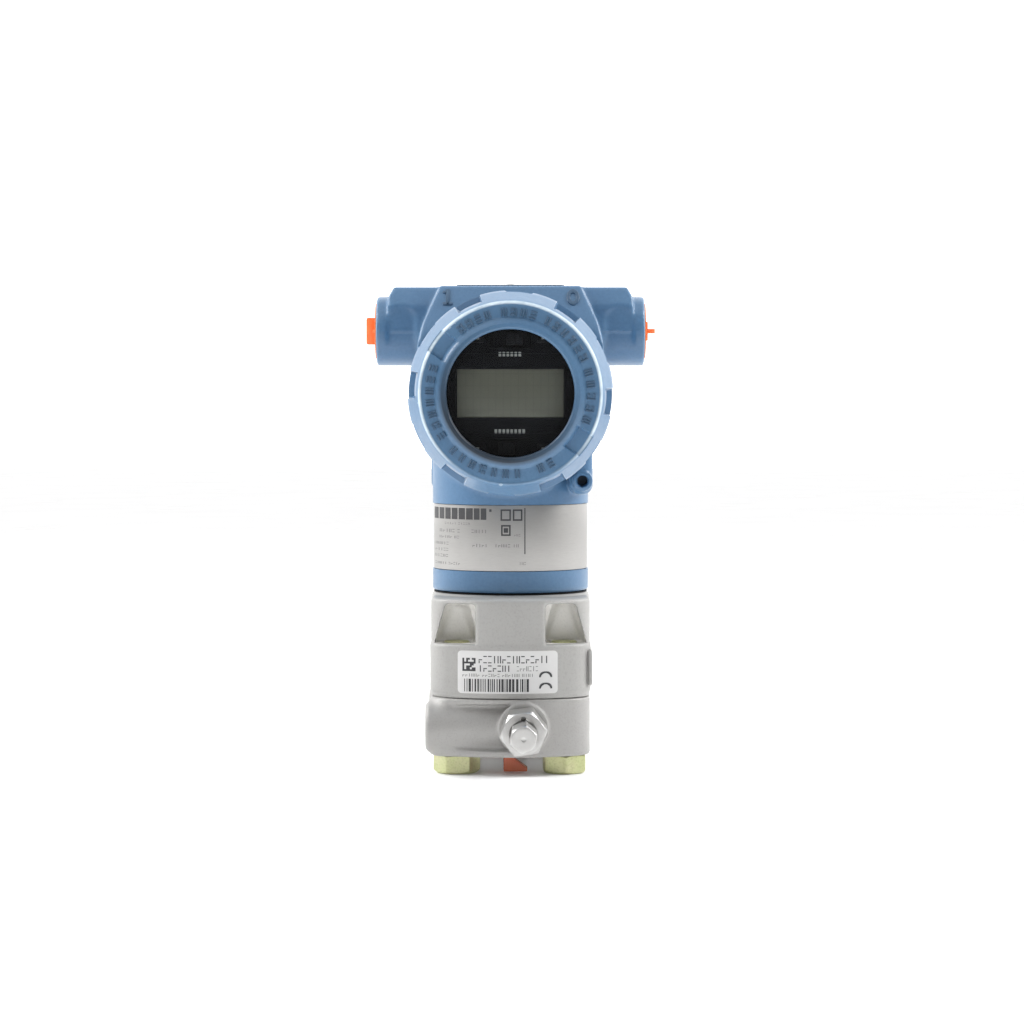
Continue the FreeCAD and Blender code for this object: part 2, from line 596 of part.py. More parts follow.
for sx, ax in ((-1, "-X"), (1, "+X")):
    hh.append(cyl(D.conduit_tap, D.conduit_deep + 1.0, (sx * (D.conduit_end - D.conduit_deep), 0, D.conduit_z), ax))
    hh.append(cyl(D.button_bore, D.button_deep + 1.0, (sx * D.button_x, 0, D.deck_top - D.button_deep)))
house = cut(fuse(neck, barrel, spig, boss, deck, tower, lug, lug_web, lug2, lug_web2), *hh)
node("electronics_housing", house)

# Nameplate band
node("nameplate_band", turned([(D.band_in, 0), (D.band_out, 0), (D.band_out, D.band_z1 - D.band_z0 - 0.2),
                               (D.band_in, D.band_z1 - D.band_z0 - 0.2)], (0, 0, D.band_z0 + 0.1)))
# Set screw that locks the housing on the module
node("rotation_set_screw", cut(cyl(2.0, 7.4, (0, 22.9, 73.2), "+Y"), hexa(1.15, 3.0, (0, 28.3, 73.2), "+Y")))

# Inside the front compartment
node("electronics_board", turned([(0, 0), (D.board_rad, 0), (D.board_rad, D.board_thk), (0, D.board_thk)],
                                 (0, -D.board_y + D.board_thk, AZ), "-Y"))
node("board_standoffs", group(*[
    cyl(2.5, D.board_y - D.board_thk - D.wall_y0 - 0.1, (x, -D.wall_y0 - 0.05, AZ), "-Y") for x in (-22, 22)]))
node("board_screws", group(*[
    turned([(0, 0), (3.0, 0), (3.0, 1.2), (1.6, 2.2), (0, 2.2)], (x, -D.board_y - 0.05, AZ), "-Y")
    for x in (-22, 22)]))
node("shield_can", box(-13, 13, -D.board_y - 7.05, -D.board_y - 0.05, AZ - 12.0, AZ + 12.0))
node("ribbon_cable", fuse(box(-7, 7, -15.6, -15.1, 61.0, 119.0), box(-7, 7, -27.0, -15.1, 118.6, 119.1),
                          box(-5, 5, -28.2, -26.5, 117.6, 121.0)))
meter = turned([(0, 0), (D.meter_rad - 2.0, 0), (D.meter_rad, 2.0), (D.meter_rad, D.meter_y0 - D.meter_y1 - 1.0),
                (D.meter_rad - 1.0, D.meter_y0 - D.meter_y1), (0, D.meter_y0 - D.meter_y1)], (0, -D.meter_y1, AZ), "-Y")
seat = box(-D.disp_w / 2 - 0.1, D.disp_w / 2 + 0.1, -D.meter_y0 - 1.0, -D.meter_y0 + 1.8, AZ - D.disp_hgt / 2 - 0.1,
           AZ + D.disp_hgt / 2 + 0.1)
jup = box(-8.0, 8.0, -D.meter_y0 - 1.0, -D.meter_y0 + 3.0, AZ + 17.0, AZ + 24.0)
jdn = box(-8.0, 8.0, -D.meter_y0 - 1.0, -D.meter_y0 + 3.0, AZ - 24.0, AZ - 17.0)
node("lcd_meter", cut(meter, seat, jup, jdn))
node("lcd_glass", box(-D.disp_w / 2, D.disp_w / 2, -D.meter_y0 + 0.2, -D.meter_y0 + 1.7, AZ - D.disp_hgt / 2,
                      AZ + D.disp_hgt / 2))
node("meter_jumpers", group(
    box(-1.5, 4.5, -D.meter_y0 + 0.6, -D.meter_y0 + 2.9, AZ + 18.0, AZ + 23.0),
    box(-4.5, 1.5, -D.meter_y0 + 0.6, -D.meter_y0 + 2.9, AZ - 23.0, AZ - 18.0)))

# Inside the rear compartment
tb = common(cyl(28.5, 17.0, (0, -D.wall_y1 + 0.1, AZ), "+Y"), box(-30, 30, -20, 40, AZ - 30.0, AZ + 10.0))
tb = cut(tb, box(-21, 21, 6.0, 20.0, AZ - 3.0, AZ + 12.0))
node("terminal_block", tb)
node("terminal_screws", group(*[
    cut(turned([(0, 0), (3.6, 0), (3.6, 1.8), (2.8, 2.6), (0, 2.6)], (x, 6.05, AZ + 3.5), "+Y"),
        box(x - 4.0, x + 4.0, 7.8, 9.5, AZ + 3.1, AZ + 3.9)) for x in (-14, 0, 14)]))
gs = fuse(cyl(4.0, 2.4, (18.5, -D.wall_y1 + 2.0, AZ + 17.0), "+Y"), cyl(2.0, 2.0, (18.5, -D.wall_y1 + 0.05, AZ + 17.0), "+Y"))
node("inner_ground_screw", cut(gs, box(13.5, 23.5, -D.wall_y1 + 3.6, 5, AZ + 16.6, AZ + 17.4)))

# --------------------------------------------------------------------------
# Front cover: screwed cap with a window
# --------------------------------------------------------------------------
full = D.cover_face - D.cover_y0
face = full - 1.2
ring = turned([
    (D.cover_step, 0), (D.cover_rad, 0), (D.cover_rad, 17.6), (D.cover_rad - 0.8, 20.2),
    (D.cover_edge + 0.5, face - 0.9), (D.cover_edge, face), (27.6, face), (D.lip_out, full - 0.2),
    (D.lip_out - 0.5, full), (D.window_rad + 0.6, full), (D.window_rad, full - 0.6), (D.window_rad, full - 4.0),
    (D.cav_rad, full - 4.0), (D.cav_rad, D.cover_bore_len), (D.cover_bore, D.cover_bore_len),
    (D.cover_bore, D.cover_step_len), (D.cover_step, D.cover_step_len)], (0, -D.cover_y0, AZ), "-Y")


def rim_cuts(y0, ax, length, first, sgn):
    tools = []
    for k in range(6):
        a = first + 60.0 * k
        spin = a - 7.5
        w = cyl(D.cover_rad + 2.0, length, (0, y0, AZ), ax, angle=15.0, spin=sgn * spin)
        tools.append(w)
    return cut(fuse(*tools), cyl(D.cover_pocket_rad, length + 2.0, (0, y0 - (1.0 if ax == "+Y" else -1.0), AZ), ax))


def face_slot(y_face, depth_sign, ang, r_in, r_out):
    o = doc.addObject("Part::Box", fresh("Slot"))
    bind(o, "Length", q(r_out) - q(r_in))
    bind(o, "Width", 6.0)
    bind(o, "Height", D.slot_wide)
    rot = Rotation(Vector(0, 1, 0), -ang)
    off = rot.multVec(Vector(q(r_in).v, 0, -D.slot_wide.v / 2))
    y = y_face + D.slot_deep if depth_sign < 0 else y_face - D.slot_deep
    base_y = y - 6.0 if depth_sign < 0 else y
    return put(o, (off.x, base_y, off.z + D.axis_z), rot)


front = cut(ring, rim_cuts(-D.cover_y0 - 6.0, "-Y", 14.5, 55.0, 1),
            face_slot(-D.cover_face + 1.2, -1, 145.0, D.lip_out + 0.6, D.cover_edge + 4.0),
            face_slot(-D.cover_face + 1.2, -1, -35.0, D.lip_out + 0.6, D.cover_edge + 4.0))
node("front_cover", front)
node("window_gasket", turned([(24.6, 0), (30.4, 0), (30.4, 0.9), (24.6, 0.9)], (0, -D.cover_face + 4.05 + 0.9, AZ), "-Y"))
node("window_glass", turned([(0, 0), (D.glass_rad - 0.5, 0), (D.glass_rad, 0.5), (D.glass_rad, D.glass_thk - 0.5),
                             (D.glass_rad - 0.5, D.glass_thk), (0, D.glass_thk)],
                            (0, -D.cover_face + 5.0 + D.glass_thk, AZ), "-Y"))
node("glass_retainer", turned([(28.9, 0), (30.9, 0), (30.9, 1.5), (28.9, 1.5)],
                              (0, -D.cover_face + 5.05 + D.glass_thk + 1.5, AZ), "-Y"))
node("front_oring", torus(D.oring_rad, D.oring_sec, (0, -D.barrel_y0 - 1.0, AZ), "-Y"))

# Rear cover: blind screwed cap
rl = D.rear_face - D.rear_y0
back = turned([
    (D.cover_step, 0), (D.cover_rad, 0), (D.cover_rad, 9.0), (D.cover_rad - 0.8, 11.0),
    (D.cover_edge + 0.5, rl - 0.9), (D.cover_edge, rl), (26.4, rl), (24.8, rl - 1.4), (0, rl - 1.4),
    (0, rl - 4.6), (29.5, rl - 4.6), (D.cover_bore, rl - 3.4), (D.cover_bore, D.cover_step_len),
    (D.cover_step, D.cover_step_len)], (0, D.rear_y0, AZ), "+Y")
node("rear_cover", cut(back, rim_cuts(D.rear_y0 + 3.5, "+Y", 8.0, 55.0, -1),
                       face_slot(D.rear_face, 1, 145.0, 25.0, D.cover_edge + 4.0),
                       face_slot(D.rear_face, 1, -35.0, 25.0, D.cover_edge + 4.0)))
node("rear_oring", torus(D.oring_rad, D.oring_sec, (0, D.barrel_y1 + 1.0, AZ), "+Y"))

# --------------------------------------------------------------------------
# Top of the housing: label plate, its screw, the two buttons and their sleeves
# --------------------------------------------------------------------------
pl = rounded(box(-D.plate_w / 2, D.plate_w / 2, -D.plate_d / 2, D.plate_d / 2, D.deck_top + 0.1,
                 D.deck_top + 0.1 + D.plate_thk), 2.0, upright)
node("top_label_plate", cut(pl, cyl(1.8, 5.0, (0, 0, D.deck_top - 1.0))))
screw = turned([(0, 0), (1.5, 0), (1.5, 6.95), (2.9, 6.95), (2.9, 7.2), (2.5, 7.45), (0, 7.45)], (0, 0, D.deck_top - 5.95))
node("label_screw", cut(screw, box(-4, 4, -0.4, 0.4, D.deck_top + 1.2, D.deck_top + 4.0)))
for sx, nm in ((-1, "span_button"), (1, "zero_button")):
    btn = turned([(0, 0), (1.6, 0), (1.6, 1.4), (D.button_rad, 1.4), (D.button_rad, 5.2), (D.button_rad - 0.4, 5.6),
                  (0, 5.6)], (sx * D.button_x, 0, D.deck_top - 5.7))
    node(nm, cut(btn, box(sx * D.button_x - 4.0, sx * D.button_x + 4.0, -0.5, 0.5, D.deck_top - 0.9, D.deck_top + 1.0)))


# Each button rests on a silicone rubber sleeve that squashes as it is pressed
for sx, nm in ((-1, "span_spring"), (1, "zero_spring")):
    node(nm, turned([(1.85, 0), (2.6, 0), (2.6, 0.7), (2.3, 1.1), (2.3, 3.4), (2.6, 3.8), (2.6, 4.5), (1.85, 4.5)],
                    (sx * D.button_x, 0, D.deck_top - D.button_deep + 0.1)))

# Conduit entry plugs: flange, shank and a flat grip blade
for sx, ax, nm, blade in ((-1, "-X", "left", 0), (1, "+X", "right", 1)):
    at = (sx * (D.conduit_end - 11.0), 0, D.conduit_z)
    shank = cut(cone(D.plug_shank - 0.5, D.plug_shank - 0.05, 11.05, at, ax),
                cyl(D.plug_shank - 2.5, 9.0, (sx * (D.conduit_end - 12.0), 0, D.conduit_z), ax))
    disc = cyl(D.plug_disc, D.plug_thk, (sx * (D.conduit_end + 0.05), 0, D.conduit_z), ax)
    x0 = D.conduit_end + 0.5
    x1 = D.conduit_end + 0.05 + D.plug_thk + D.grip_len
    lo, hi = (-x1, -x0) if sx < 0 else (x0, x1)
    if blade == 0:
        grip = box(lo, hi, -D.grip_thk / 2, D.grip_thk / 2, D.conduit_z - D.grip_w / 2, D.conduit_z + D.grip_w / 2)
    else:
        grip = box(lo, hi, -D.grip_w / 2, D.grip_w / 2, D.conduit_z - D.grip_thk / 2, D.conduit_z + D.grip_thk / 2)
    node("conduit_plug_" + nm, fuse(shank, disc, grip))

doc.recompute()

# --------------------------------------------------------------------------
# Check every object, then write one file per piece
# --------------------------------------------------------------------------
bad = []
for o in doc.Objects:
    if "Invalid" in o.State or "Error" in o.State:
        bad.append("%s (%s): %s" % (o.Name, o.Label, o.State))
for label, o in nodes.items():
    if o.Shape.isNull() or not o.Shape.isValid() or o.Shape.Volume <= 0:
        bad.append("%s: bad shape" % label)
if bad:
    raise SystemExit("failed objects:\n" + "\n".join(bad))

os.makedirs("parts", exist_ok=True)
for label, o in nodes.items():
    o.Shape.exportStep("parts/%s.step" % label)
    b = o.Shape.BoundBox
    print("%-22s solids %d  vol %9.1f  x %7.2f %7.2f  y %7.2f %7.2f  z %7.2f %7.2f" % (
        label, len(o.Shape.Solids), o.Shape.Volume, b.XMin, b.XMax, b.YMin, b.YMax, b.ZMin, b.ZMax))
print("nodes:", len(nodes))
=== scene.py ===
import bpy, bmesh, math, random
import numpy as np
import openvdb
from mathutils import Vector, Matrix, Euler


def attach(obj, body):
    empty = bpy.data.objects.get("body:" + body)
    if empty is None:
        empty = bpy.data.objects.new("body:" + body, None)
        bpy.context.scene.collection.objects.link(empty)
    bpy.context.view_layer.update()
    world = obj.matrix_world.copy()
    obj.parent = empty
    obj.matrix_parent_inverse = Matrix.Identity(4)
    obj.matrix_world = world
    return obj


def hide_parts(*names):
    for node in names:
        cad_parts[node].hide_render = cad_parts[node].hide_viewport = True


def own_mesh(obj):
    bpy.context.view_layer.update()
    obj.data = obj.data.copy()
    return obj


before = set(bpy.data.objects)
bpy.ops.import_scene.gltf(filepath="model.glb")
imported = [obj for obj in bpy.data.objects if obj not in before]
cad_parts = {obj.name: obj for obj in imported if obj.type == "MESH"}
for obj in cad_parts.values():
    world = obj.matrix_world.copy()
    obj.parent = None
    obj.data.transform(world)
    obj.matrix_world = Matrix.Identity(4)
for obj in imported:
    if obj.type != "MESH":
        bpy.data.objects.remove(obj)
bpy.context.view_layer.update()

scene = bpy.context.scene
MM = 0.001
AZ = 145.8          # height of the cover axis, mm
rng = random.Random(7)

# ---------------------------------------------------------------- materials


class N:
    """A small helper that builds node trees."""

    def __init__(self, name):
        self.m = bpy.data.materials.new(name)
        self.m.use_nodes = True
        self.t = self.m.node_tree
        self.b = self.t.nodes["Principled BSDF"]
        self.out = self.t.nodes["Material Output"]
        self._co = None

    def add(self, kind, **kw):
        n = self.t.nodes.new(kind)
        for k, v in kw.items():
            setattr(n, k, v)
        return n

    def link(self, a, b):
        self.t.links.new(a, b)

    def co(self):
        if self._co is None:
            self._co = self.add("ShaderNodeTexCoord").outputs["Object"]
        return self._co

    def mapped(self, scale=(1, 1, 1), rot=(0, 0, 0)):
        mp = self.add("ShaderNodeMapping")
        mp.inputs["Scale"].default_value = scale
        mp.inputs["Rotation"].default_value = rot
        self.link(self.co(), mp.inputs["Vector"])
        return mp.outputs["Vector"]

    def noise(self, scale, detail=3.0, rough=0.5, vec=None, distortion=0.0):
        n = self.add("ShaderNodeTexNoise")
        n.inputs["Scale"].default_value = scale
        n.inputs["Detail"].default_value = detail
        n.inputs["Roughness"].default_value = rough
        n.inputs["Distortion"].default_value = distortion
        self.link(vec if vec is not None else self.co(), n.inputs["Vector"])
        return n.outputs["Fac"]

    def voronoi(self, scale, vec=None, feature="F1"):
        n = self.add("ShaderNodeTexVoronoi", feature=feature)
        n.inputs["Scale"].default_value = scale
        self.link(vec if vec is not None else self.co(), n.inputs["Vector"])
        return n.outputs["Distance"]

    def ramp(self, fac, stops):
        r = self.add("ShaderNodeValToRGB")
        e = r.color_ramp.elements
        while len(e) < len(stops):
            e.new(0.5)
        for k, (p, c) in enumerate(stops):
            e[k].position = p
            e[k].color = (c, c, c, 1) if isinstance(c, (int, float)) else (*c, 1)
        self.link(fac, r.inputs["Fac"])
        return r.outputs["Color"]

    def mix(self, fac, a, b, blend="MIX"):
        n = self.add("ShaderNodeMix", data_type="RGBA", blend_type=blend)
        for sock, v in ((n.inputs[0], fac), (n.inputs[6], a), (n.inputs[7], b)):
            if isinstance(v, (int, float)):
                sock.default_value = v
            elif isinstance(v, tuple):
                sock.default_value = (*v, 1)
            else:
                self.link(v, sock)
        return n.outputs[2]

    def math(self, op, a, b=0.0, c=None, clamp=False):
        n = self.add("ShaderNodeMath", operation=op, use_clamp=clamp)
        for k, v in enumerate((a, b) if c is None else (a, b, c)):
            if isinstance(v, (int, float)):
                n.inputs[k].default_value = v
            else:
                self.link(v, n.inputs[k])
        return n.outputs[0]

    def scale_to(self, fac, lo, hi):
        n = self.add("ShaderNodeMapRange")
        n.inputs["To Min"].default_value = lo
        n.inputs["To Max"].default_value = hi
        self.link(fac, n.inputs["Value"])
        return n.outputs["Result"]

    def bump(self, *layers):
        """layers: (height socket, strength, distance in metres)"""
        prev = None
        for h, s, d in layers:
            b = self.add("ShaderNodeBump")
            b.inputs["Strength"].default_value = s
            b.inputs["Distance"].default_value = d
            self.link(h, b.inputs["Height"])
            if prev is not None:
                self.link(prev, b.inputs["Normal"])
            prev = b.outputs["Normal"]
        self.link(prev, self.b.inputs["Normal"])
        return prev

    def pointy(self, lo=0.52, hi=0.60):
        g = self.add("ShaderNodeNewGeometry")
        return self.ramp(g.outputs["Pointiness"], [(lo, 0.0), (hi, 1.0)])

    def set(self, **kw):
        names = {"rough": "Roughness", "metal": "Metallic", "ior": "IOR", "coat": "Coat Weight",
                 "coat_rough": "Coat Roughness", "spec": "Specular IOR Level", "alpha": "Alpha",
                 "aniso": "Anisotropic", "sheen": "Sheen Weight", "trans": "Transmission Weight",
                 "sss": "Subsurface Weight"}
        for k, v in kw.items():
            self.b.inputs[names[k]].default_value = v


def painted(name, base, dark, light, rough=0.36, grain=1.0):
    m = N(name)
    big = m.noise(38, 2)
    fine = m.noise(900, 3, 0.6)
    c = m.mix(m.ramp(big, [(0.35, 0.0), (0.7, 1.0)]), base, light)
    c = m.mix(m.ramp(fine, [(0.3, 0.35), (0.62, 0.0)]), c, dark)
    m.link(c, m.b.inputs["Base Color"])
    m.link(m.scale_to(m.noise(420, 4, 0.65), rough - 0.09, rough + 0.11), m.b.inputs["Roughness"])
    m.set(coat=0.18, coat_rough=0.22)
    m.bump((m.noise(1500, 2, 0.5), 0.16 * grain, 0.00010), (m.noise(260, 3, 0.5), 0.22 * grain, 0.00022))
    return m.m


def metal(name, base, dark, rough=0.38, grain=1500.0, bump=0.25, metallic=0.85, pits=True, stains=0.35, edge_wear_and_highlight=None, pocket_painted_light=None):
    m = N(name)
    big = m.noise(45, 4, 0.6)
    c = m.mix(m.ramp(big, [(0.4, 0.0), (0.75, stains)]), base, dark)
    sp = m.noise(grain, 2, 0.6)
    c = m.mix(m.ramp(sp, [(0.28, 0.45), (0.5, 0.0)]), c, dark)
    if edge_wear_and_highlight:
        # edge wear and painted highlight: convex edges lightened by pointiness
        c = m.mix(m.math("MULTIPLY", m.pointy(0.53, 0.58), 0.7), c, edge_wear_and_highlight)
    if pocket_painted_light:
        # painted light inside each bolt pocket: a much lighter colour over the recess in place of light reaching into
        # it
        sep = m.add("ShaderNodeSeparateXYZ")
        m.link(m.co(), sep.inputs[0])
        ax_ = m.math("ABSOLUTE", sep.outputs["X"])
        ay = m.math("ABSOLUTE", sep.outputs["Y"])
        skin = m.math("SQRT", m.math("SUBTRACT", 0.05485 ** 2, m.math("MULTIPLY", ax_, ax_)))
        deep = m.math("SUBTRACT", m.math("SUBTRACT", skin, 0.0146), ay)
        inside = m.math("MULTIPLY", deep, 1 / 0.0006, clamp=True)
        for v, lo, hi in ((ax_, 0.0128, 0.0288), (sep.outputs["Z"], 0.0499, 0.0661)):
            inside = m.math("MULTIPLY", inside, m.math("MULTIPLY", m.math("GREATER_THAN", v, lo), m.math("LESS_THAN", v, hi)))
        c = m.mix(m.math("MULTIPLY", inside, m.ramp(sp, [(0.25, 0.82), (0.5, 1.0)])), c, pocket_painted_light)
    m.link(c, m.b.inputs["Base Color"])
    m.set(metal=metallic)
    m.link(m.scale_to(m.noise(300, 5, 0.7), rough - 0.1, rough + 0.12), m.b.inputs["Roughness"])
    layers = [(sp, bump, 0.00012)]
    if pits:
        layers.append((m.noise(420, 4, 0.6), bump * 0.8, 0.0002))
    m.bump(*layers)
    return m.m


def turned(name, base, rough, axis, metallic=1.0, lines=5200.0, bump=0.12):
    """Turned or brushed metal: fine lines run round the given axis."""
    m = N(name)
    sc = [1.0, 1.0, 1.0]
    sc[axis] = 26.0
    v = m.mapped(scale=tuple(sc))
    ln = m.noise(lines / 26.0, 3, 0.7, vec=v)
    big = m.noise(60, 3)
    dark = tuple(x * 0.72 for x in base)
    c = m.mix(m.ramp(ln, [(0.3, 0.4), (0.6, 0.0)]), base, dark)
    c = m.mix(m.ramp(big, [(0.45, 0.0), (0.8, 0.25)]), c, dark)
    m.link(c, m.b.inputs["Base Color"])
    m.set(metal=metallic)
    m.link(m.scale_to(ln, rough - 0.06, rough + 0.12), m.b.inputs["Roughness"])
    m.bump((ln, bump, 0.00008), (m.noise(500, 3), bump * 0.5, 0.0001))
    return m.m


def plastic(name, base, dark, rough=0.42, grain=1200.0, bump=0.15, sss=0.0, coat=0.0):
    m = N(name)
    c = m.mix(m.ramp(m.noise(70, 3), [(0.35, 0.0), (0.75, 0.6)]), base, dark)
    m.link(c, m.b.inputs["Base Color"])
    m.link(m.scale_to(m.noise(350, 4, 0.6), rough - 0.08, rough + 0.1), m.b.inputs["Roughness"])
    m.set(sss=sss, coat=coat)
    m.b.inputs["Subsurface Scale"].default_value = 0.002
    m.b.inputs["Specular IOR Level"].default_value = 0.12 if base[0] < 0.02 else 0.5
    m.bump((m.noise(grain, 2), bump, 0.0001), (m.noise(120, 2), bump * 0.5, 0.0002))
    return m.m


MAT = {}
MAT["blue"] = painted("blue_paint", (0.072, 0.166, 0.298), (0.052, 0.125, 0.235), (0.086, 0.19, 0.33))
# darker copy of the blue paint for the raised marks and strokes: partly darker paint, partly painted shade on the
# raised strokes
MAT["blue_mark"] = painted("blue_mark", (0.04, 0.095, 0.17), (0.03, 0.07, 0.13), (0.05, 0.11, 0.19), 0.42)
MAT["module"] = metal("module_steel", (0.385, 0.38, 0.368), (0.29, 0.285, 0.272), 0.52, 1300, 0.30, 0.22, stains=0.3, edge_wear_and_highlight=(0.62, 0.61, 0.59), pocket_painted_light=(0.82, 0.81, 0.785))
MAT["flange"] = metal("cast_steel", (0.39, 0.383, 0.372), (0.29, 0.282, 0.272), 0.50, 1500, 0.28, 0.25, stains=0.3, edge_wear_and_highlight=(0.66, 0.65, 0.63))
MAT["machined"] = metal("machined_steel", (0.62, 0.61, 0.595), (0.45, 0.44, 0.42), 0.30, 2200, 0.15, 0.95, pits=False)
MAT["bright"] = turned("bright_steel", (0.52, 0.515, 0.505), 0.30, 1, 0.9)
MAT["band"] = turned("band_steel", (0.41, 0.402, 0.39), 0.36, 2, 0.8, lines=9000.0, bump=0.08)
MAT["satin"] = metal("satin_steel", (0.60, 0.60, 0.59), (0.42, 0.42, 0.41), 0.34, 2000, 0.15, 0.95, pits=False)
MAT["dark_steel"] = metal("dark_steel", (0.09, 0.095, 0.10), (0.04, 0.04, 0.045), 0.42, 1800, 0.2, 0.7)
MAT["brass"] = metal("brass_part", (0.70, 0.50, 0.22), (0.45, 0.30, 0.12), 0.32, 1800, 0.12, 1.0, pits=False)
MAT["orange"] = plastic("orange_plastic", (0.88, 0.245, 0.075), (0.74, 0.17, 0.045), 0.42, sss=0.12)
MAT["red"] = plastic("red_plastic", (0.66, 0.19, 0.10), (0.50, 0.13, 0.07), 0.45, bump=0.3, sss=0.05)
MAT["black"] = plastic("black_plastic", (0.005, 0.005, 0.0085), (0.003, 0.003, 0.005), 0.5, bump=0.02)
MAT["black2"] = plastic("black_recess", (0.014, 0.014, 0.018), (0.008, 0.008, 0.010), 0.45, bump=0.03)
MAT["rubber"] = plastic("black_rubber", (0.010, 0.010, 0.011), (0.005, 0.005, 0.006), 0.62, bump=0.3)
MAT["white_seal"] = plastic("white_seal", (0.80, 0.80, 0.78), (0.70, 0.70, 0.68), 0.5)
MAT["print"] = plastic("print_ink", (0.045, 0.045, 0.048), (0.02, 0.02, 0.022), 0.5)
MAT["print_soft"] = plastic("print_ink_soft", (0.20, 0.20, 0.195), (0.13, 0.13, 0.125), 0.5)
MAT["grey_print"] = plastic("grey_print", (0.42, 0.42, 0.41), (0.30, 0.30, 0.29), 0.5)
MAT["board"] = plastic("board_green", (0.012, 0.085, 0.045), (0.008, 0.05, 0.028), 0.35, coat=0.3)
MAT["ribbon"] = plastic("ribbon_grey", (0.45, 0.45, 0.47), (0.35, 0.35, 0.37), 0.5)
MAT["green"] = plastic("green_screw", (0.03, 0.22, 0.09), (0.02, 0.13, 0.05), 0.4)
MAT["plate"] = painted("dark_plate", (0.035, 0.075, 0.125), (0.02, 0.05, 0.09), (0.05, 0.095, 0.15), 0.34)


def cover_paint():
    """The housing's paint, with a painted highlight ring on the rim's edge and painted shade round the glass."""
    m = N("cover_paint")
    big = m.noise(38, 2)
    fine = m.noise(900, 3, 0.6)
    c = m.mix(m.ramp(big, [(0.35, 0.0), (0.7, 1.0)]), (0.072, 0.166, 0.298), (0.086, 0.19, 0.33))
    c = m.mix(m.ramp(fine, [(0.3, 0.35), (0.62, 0.0)]), c, (0.052, 0.125, 0.235))
    sep = m.add("ShaderNodeSeparateXYZ")
    m.link(m.co(), sep.inputs[0])
    zz = m.math("SUBTRACT", sep.outputs["Z"], AZ * MM)
    rad = m.math("SQRT", m.math("ADD", m.math("MULTIPLY", sep.outputs["X"], sep.outputs["X"]), m.math("MULTIPLY", zz, zz)))
    fwd = m.math("ABSOLUTE", m.math("ADD", sep.outputs["Y"], 0.01025))
    near = m.math("GREATER_THAN", fwd, 0.0605)
    # painted shade round the glass seat: a dark ring, deepest low on the left
    side = m.math("ADD", m.math("MULTIPLY", sep.outputs["X"], -0.55 / 0.025), m.math("MULTIPLY", zz, -0.83 / 0.025))
    side = m.math("ADD", m.math("MULTIPLY", side, 0.58), 0.50, clamp=True)
    seat = m.math("SUBTRACT", 1.0, m.math("MULTIPLY", m.math("SUBTRACT", rad, 0.0255), 1 / 0.0018, clamp=True), clamp=True)
    seat = m.math("MULTIPLY", m.math("MULTIPLY", seat, side), near)
    seat = m.math("MULTIPLY", seat, m.math("LESS_THAN", sep.outputs["Y"], 0.0))
    c = m.mix(m.math("MULTIPLY", seat, 0.96), c, (0.006, 0.016, 0.030))
    # painted highlight ring on the rim's edge, fading towards the bottom; the rim's edges are also lightened by
    # pointiness, as edge wear and painted highlight together
    off = m.math("ABSOLUTE", m.math("SUBTRACT", rad, 0.03365))
    ring = m.math("SUBTRACT", 1.0, m.math("MULTIPLY", m.math("SUBTRACT", off, 0.0002, clamp=True), 1 / 0.0006), clamp=True)
    low = m.math("ADD", m.math("MULTIPLY", zz, 1 / 0.018), 1.75, clamp=True)
    patchy = m.ramp(m.noise(140, 3, 0.6), [(0.30, 0.6), (0.6, 1.0)])
    ring = m.math("MULTIPLY", m.math("MULTIPLY", ring, patchy), near)
    ring = m.math("MULTIPLY", ring, m.math("MAXIMUM", low, 0.08))
    edge_wear_and_highlight = m.math("MULTIPLY", m.pointy(0.53, 0.58), m.math("MULTIPLY", m.math("GREATER_THAN", rad, 0.0326), 0.35))
    c = m.mix(m.math("MAXIMUM", ring, edge_wear_and_highlight), c, (0.72, 0.84, 0.92))
    m.link(c, m.b.inputs["Base Color"])
    m.link(m.scale_to(m.noise(420, 4, 0.65), 0.27, 0.47), m.b.inputs["Roughness"])
    m.set(coat=0.18, coat_rough=0.22)
    m.bump((m.noise(1500, 2, 0.5), 0.16, 0.00010), (m.noise(260, 3, 0.5), 0.22, 0.00022))
    return m.m


MAT["cover"] = cover_paint()


def zinc():
    m = N("yellow_zinc")
    n1 = m.noise(120, 4, 0.6)
    n2 = m.noise(60, 3, 0.5, distortion=0.6)
    c = m.mix(m.ramp(n1, [(0.35, 0.0), (0.65, 1.0)]), (0.54, 0.575, 0.295), (0.61, 0.60, 0.365))
    c = m.mix(m.ramp(n2, [(0.5, 0.0), (0.75, 0.55)]), c, (0.48, 0.40, 0.28))
    c = m.mix(m.ramp(m.noise(1400, 2), [(0.3, 0.4), (0.5, 0.0)]), c, (0.33, 0.33, 0.18))
    m.link(c, m.b.inputs["Base Color"])
    m.set(metal=0.75)
    m.link(m.scale_to(m.noise(380, 4), 0.26, 0.48), m.b.inputs["Roughness"])
    m.bump((m.noise(900, 3), 0.2, 0.0001))
    return m.m


MAT["zinc"] = zinc()


def label_film():
    m = N("label_film")
    c = m.mix(m.ramp(m.noise(90, 3), [(0.3, 0.0), (0.8, 1.0)]), (0.66, 0.655, 0.65), (0.61, 0.605, 0.60))
    m.link(c, m.b.inputs["Base Color"])
    m.link(m.scale_to(m.noise(260, 3), 0.34, 0.5), m.b.inputs["Roughness"])
    m.bump((m.noise(700, 2), 0.08, 0.0001))
    return m.m


MAT["label"] = label_film()


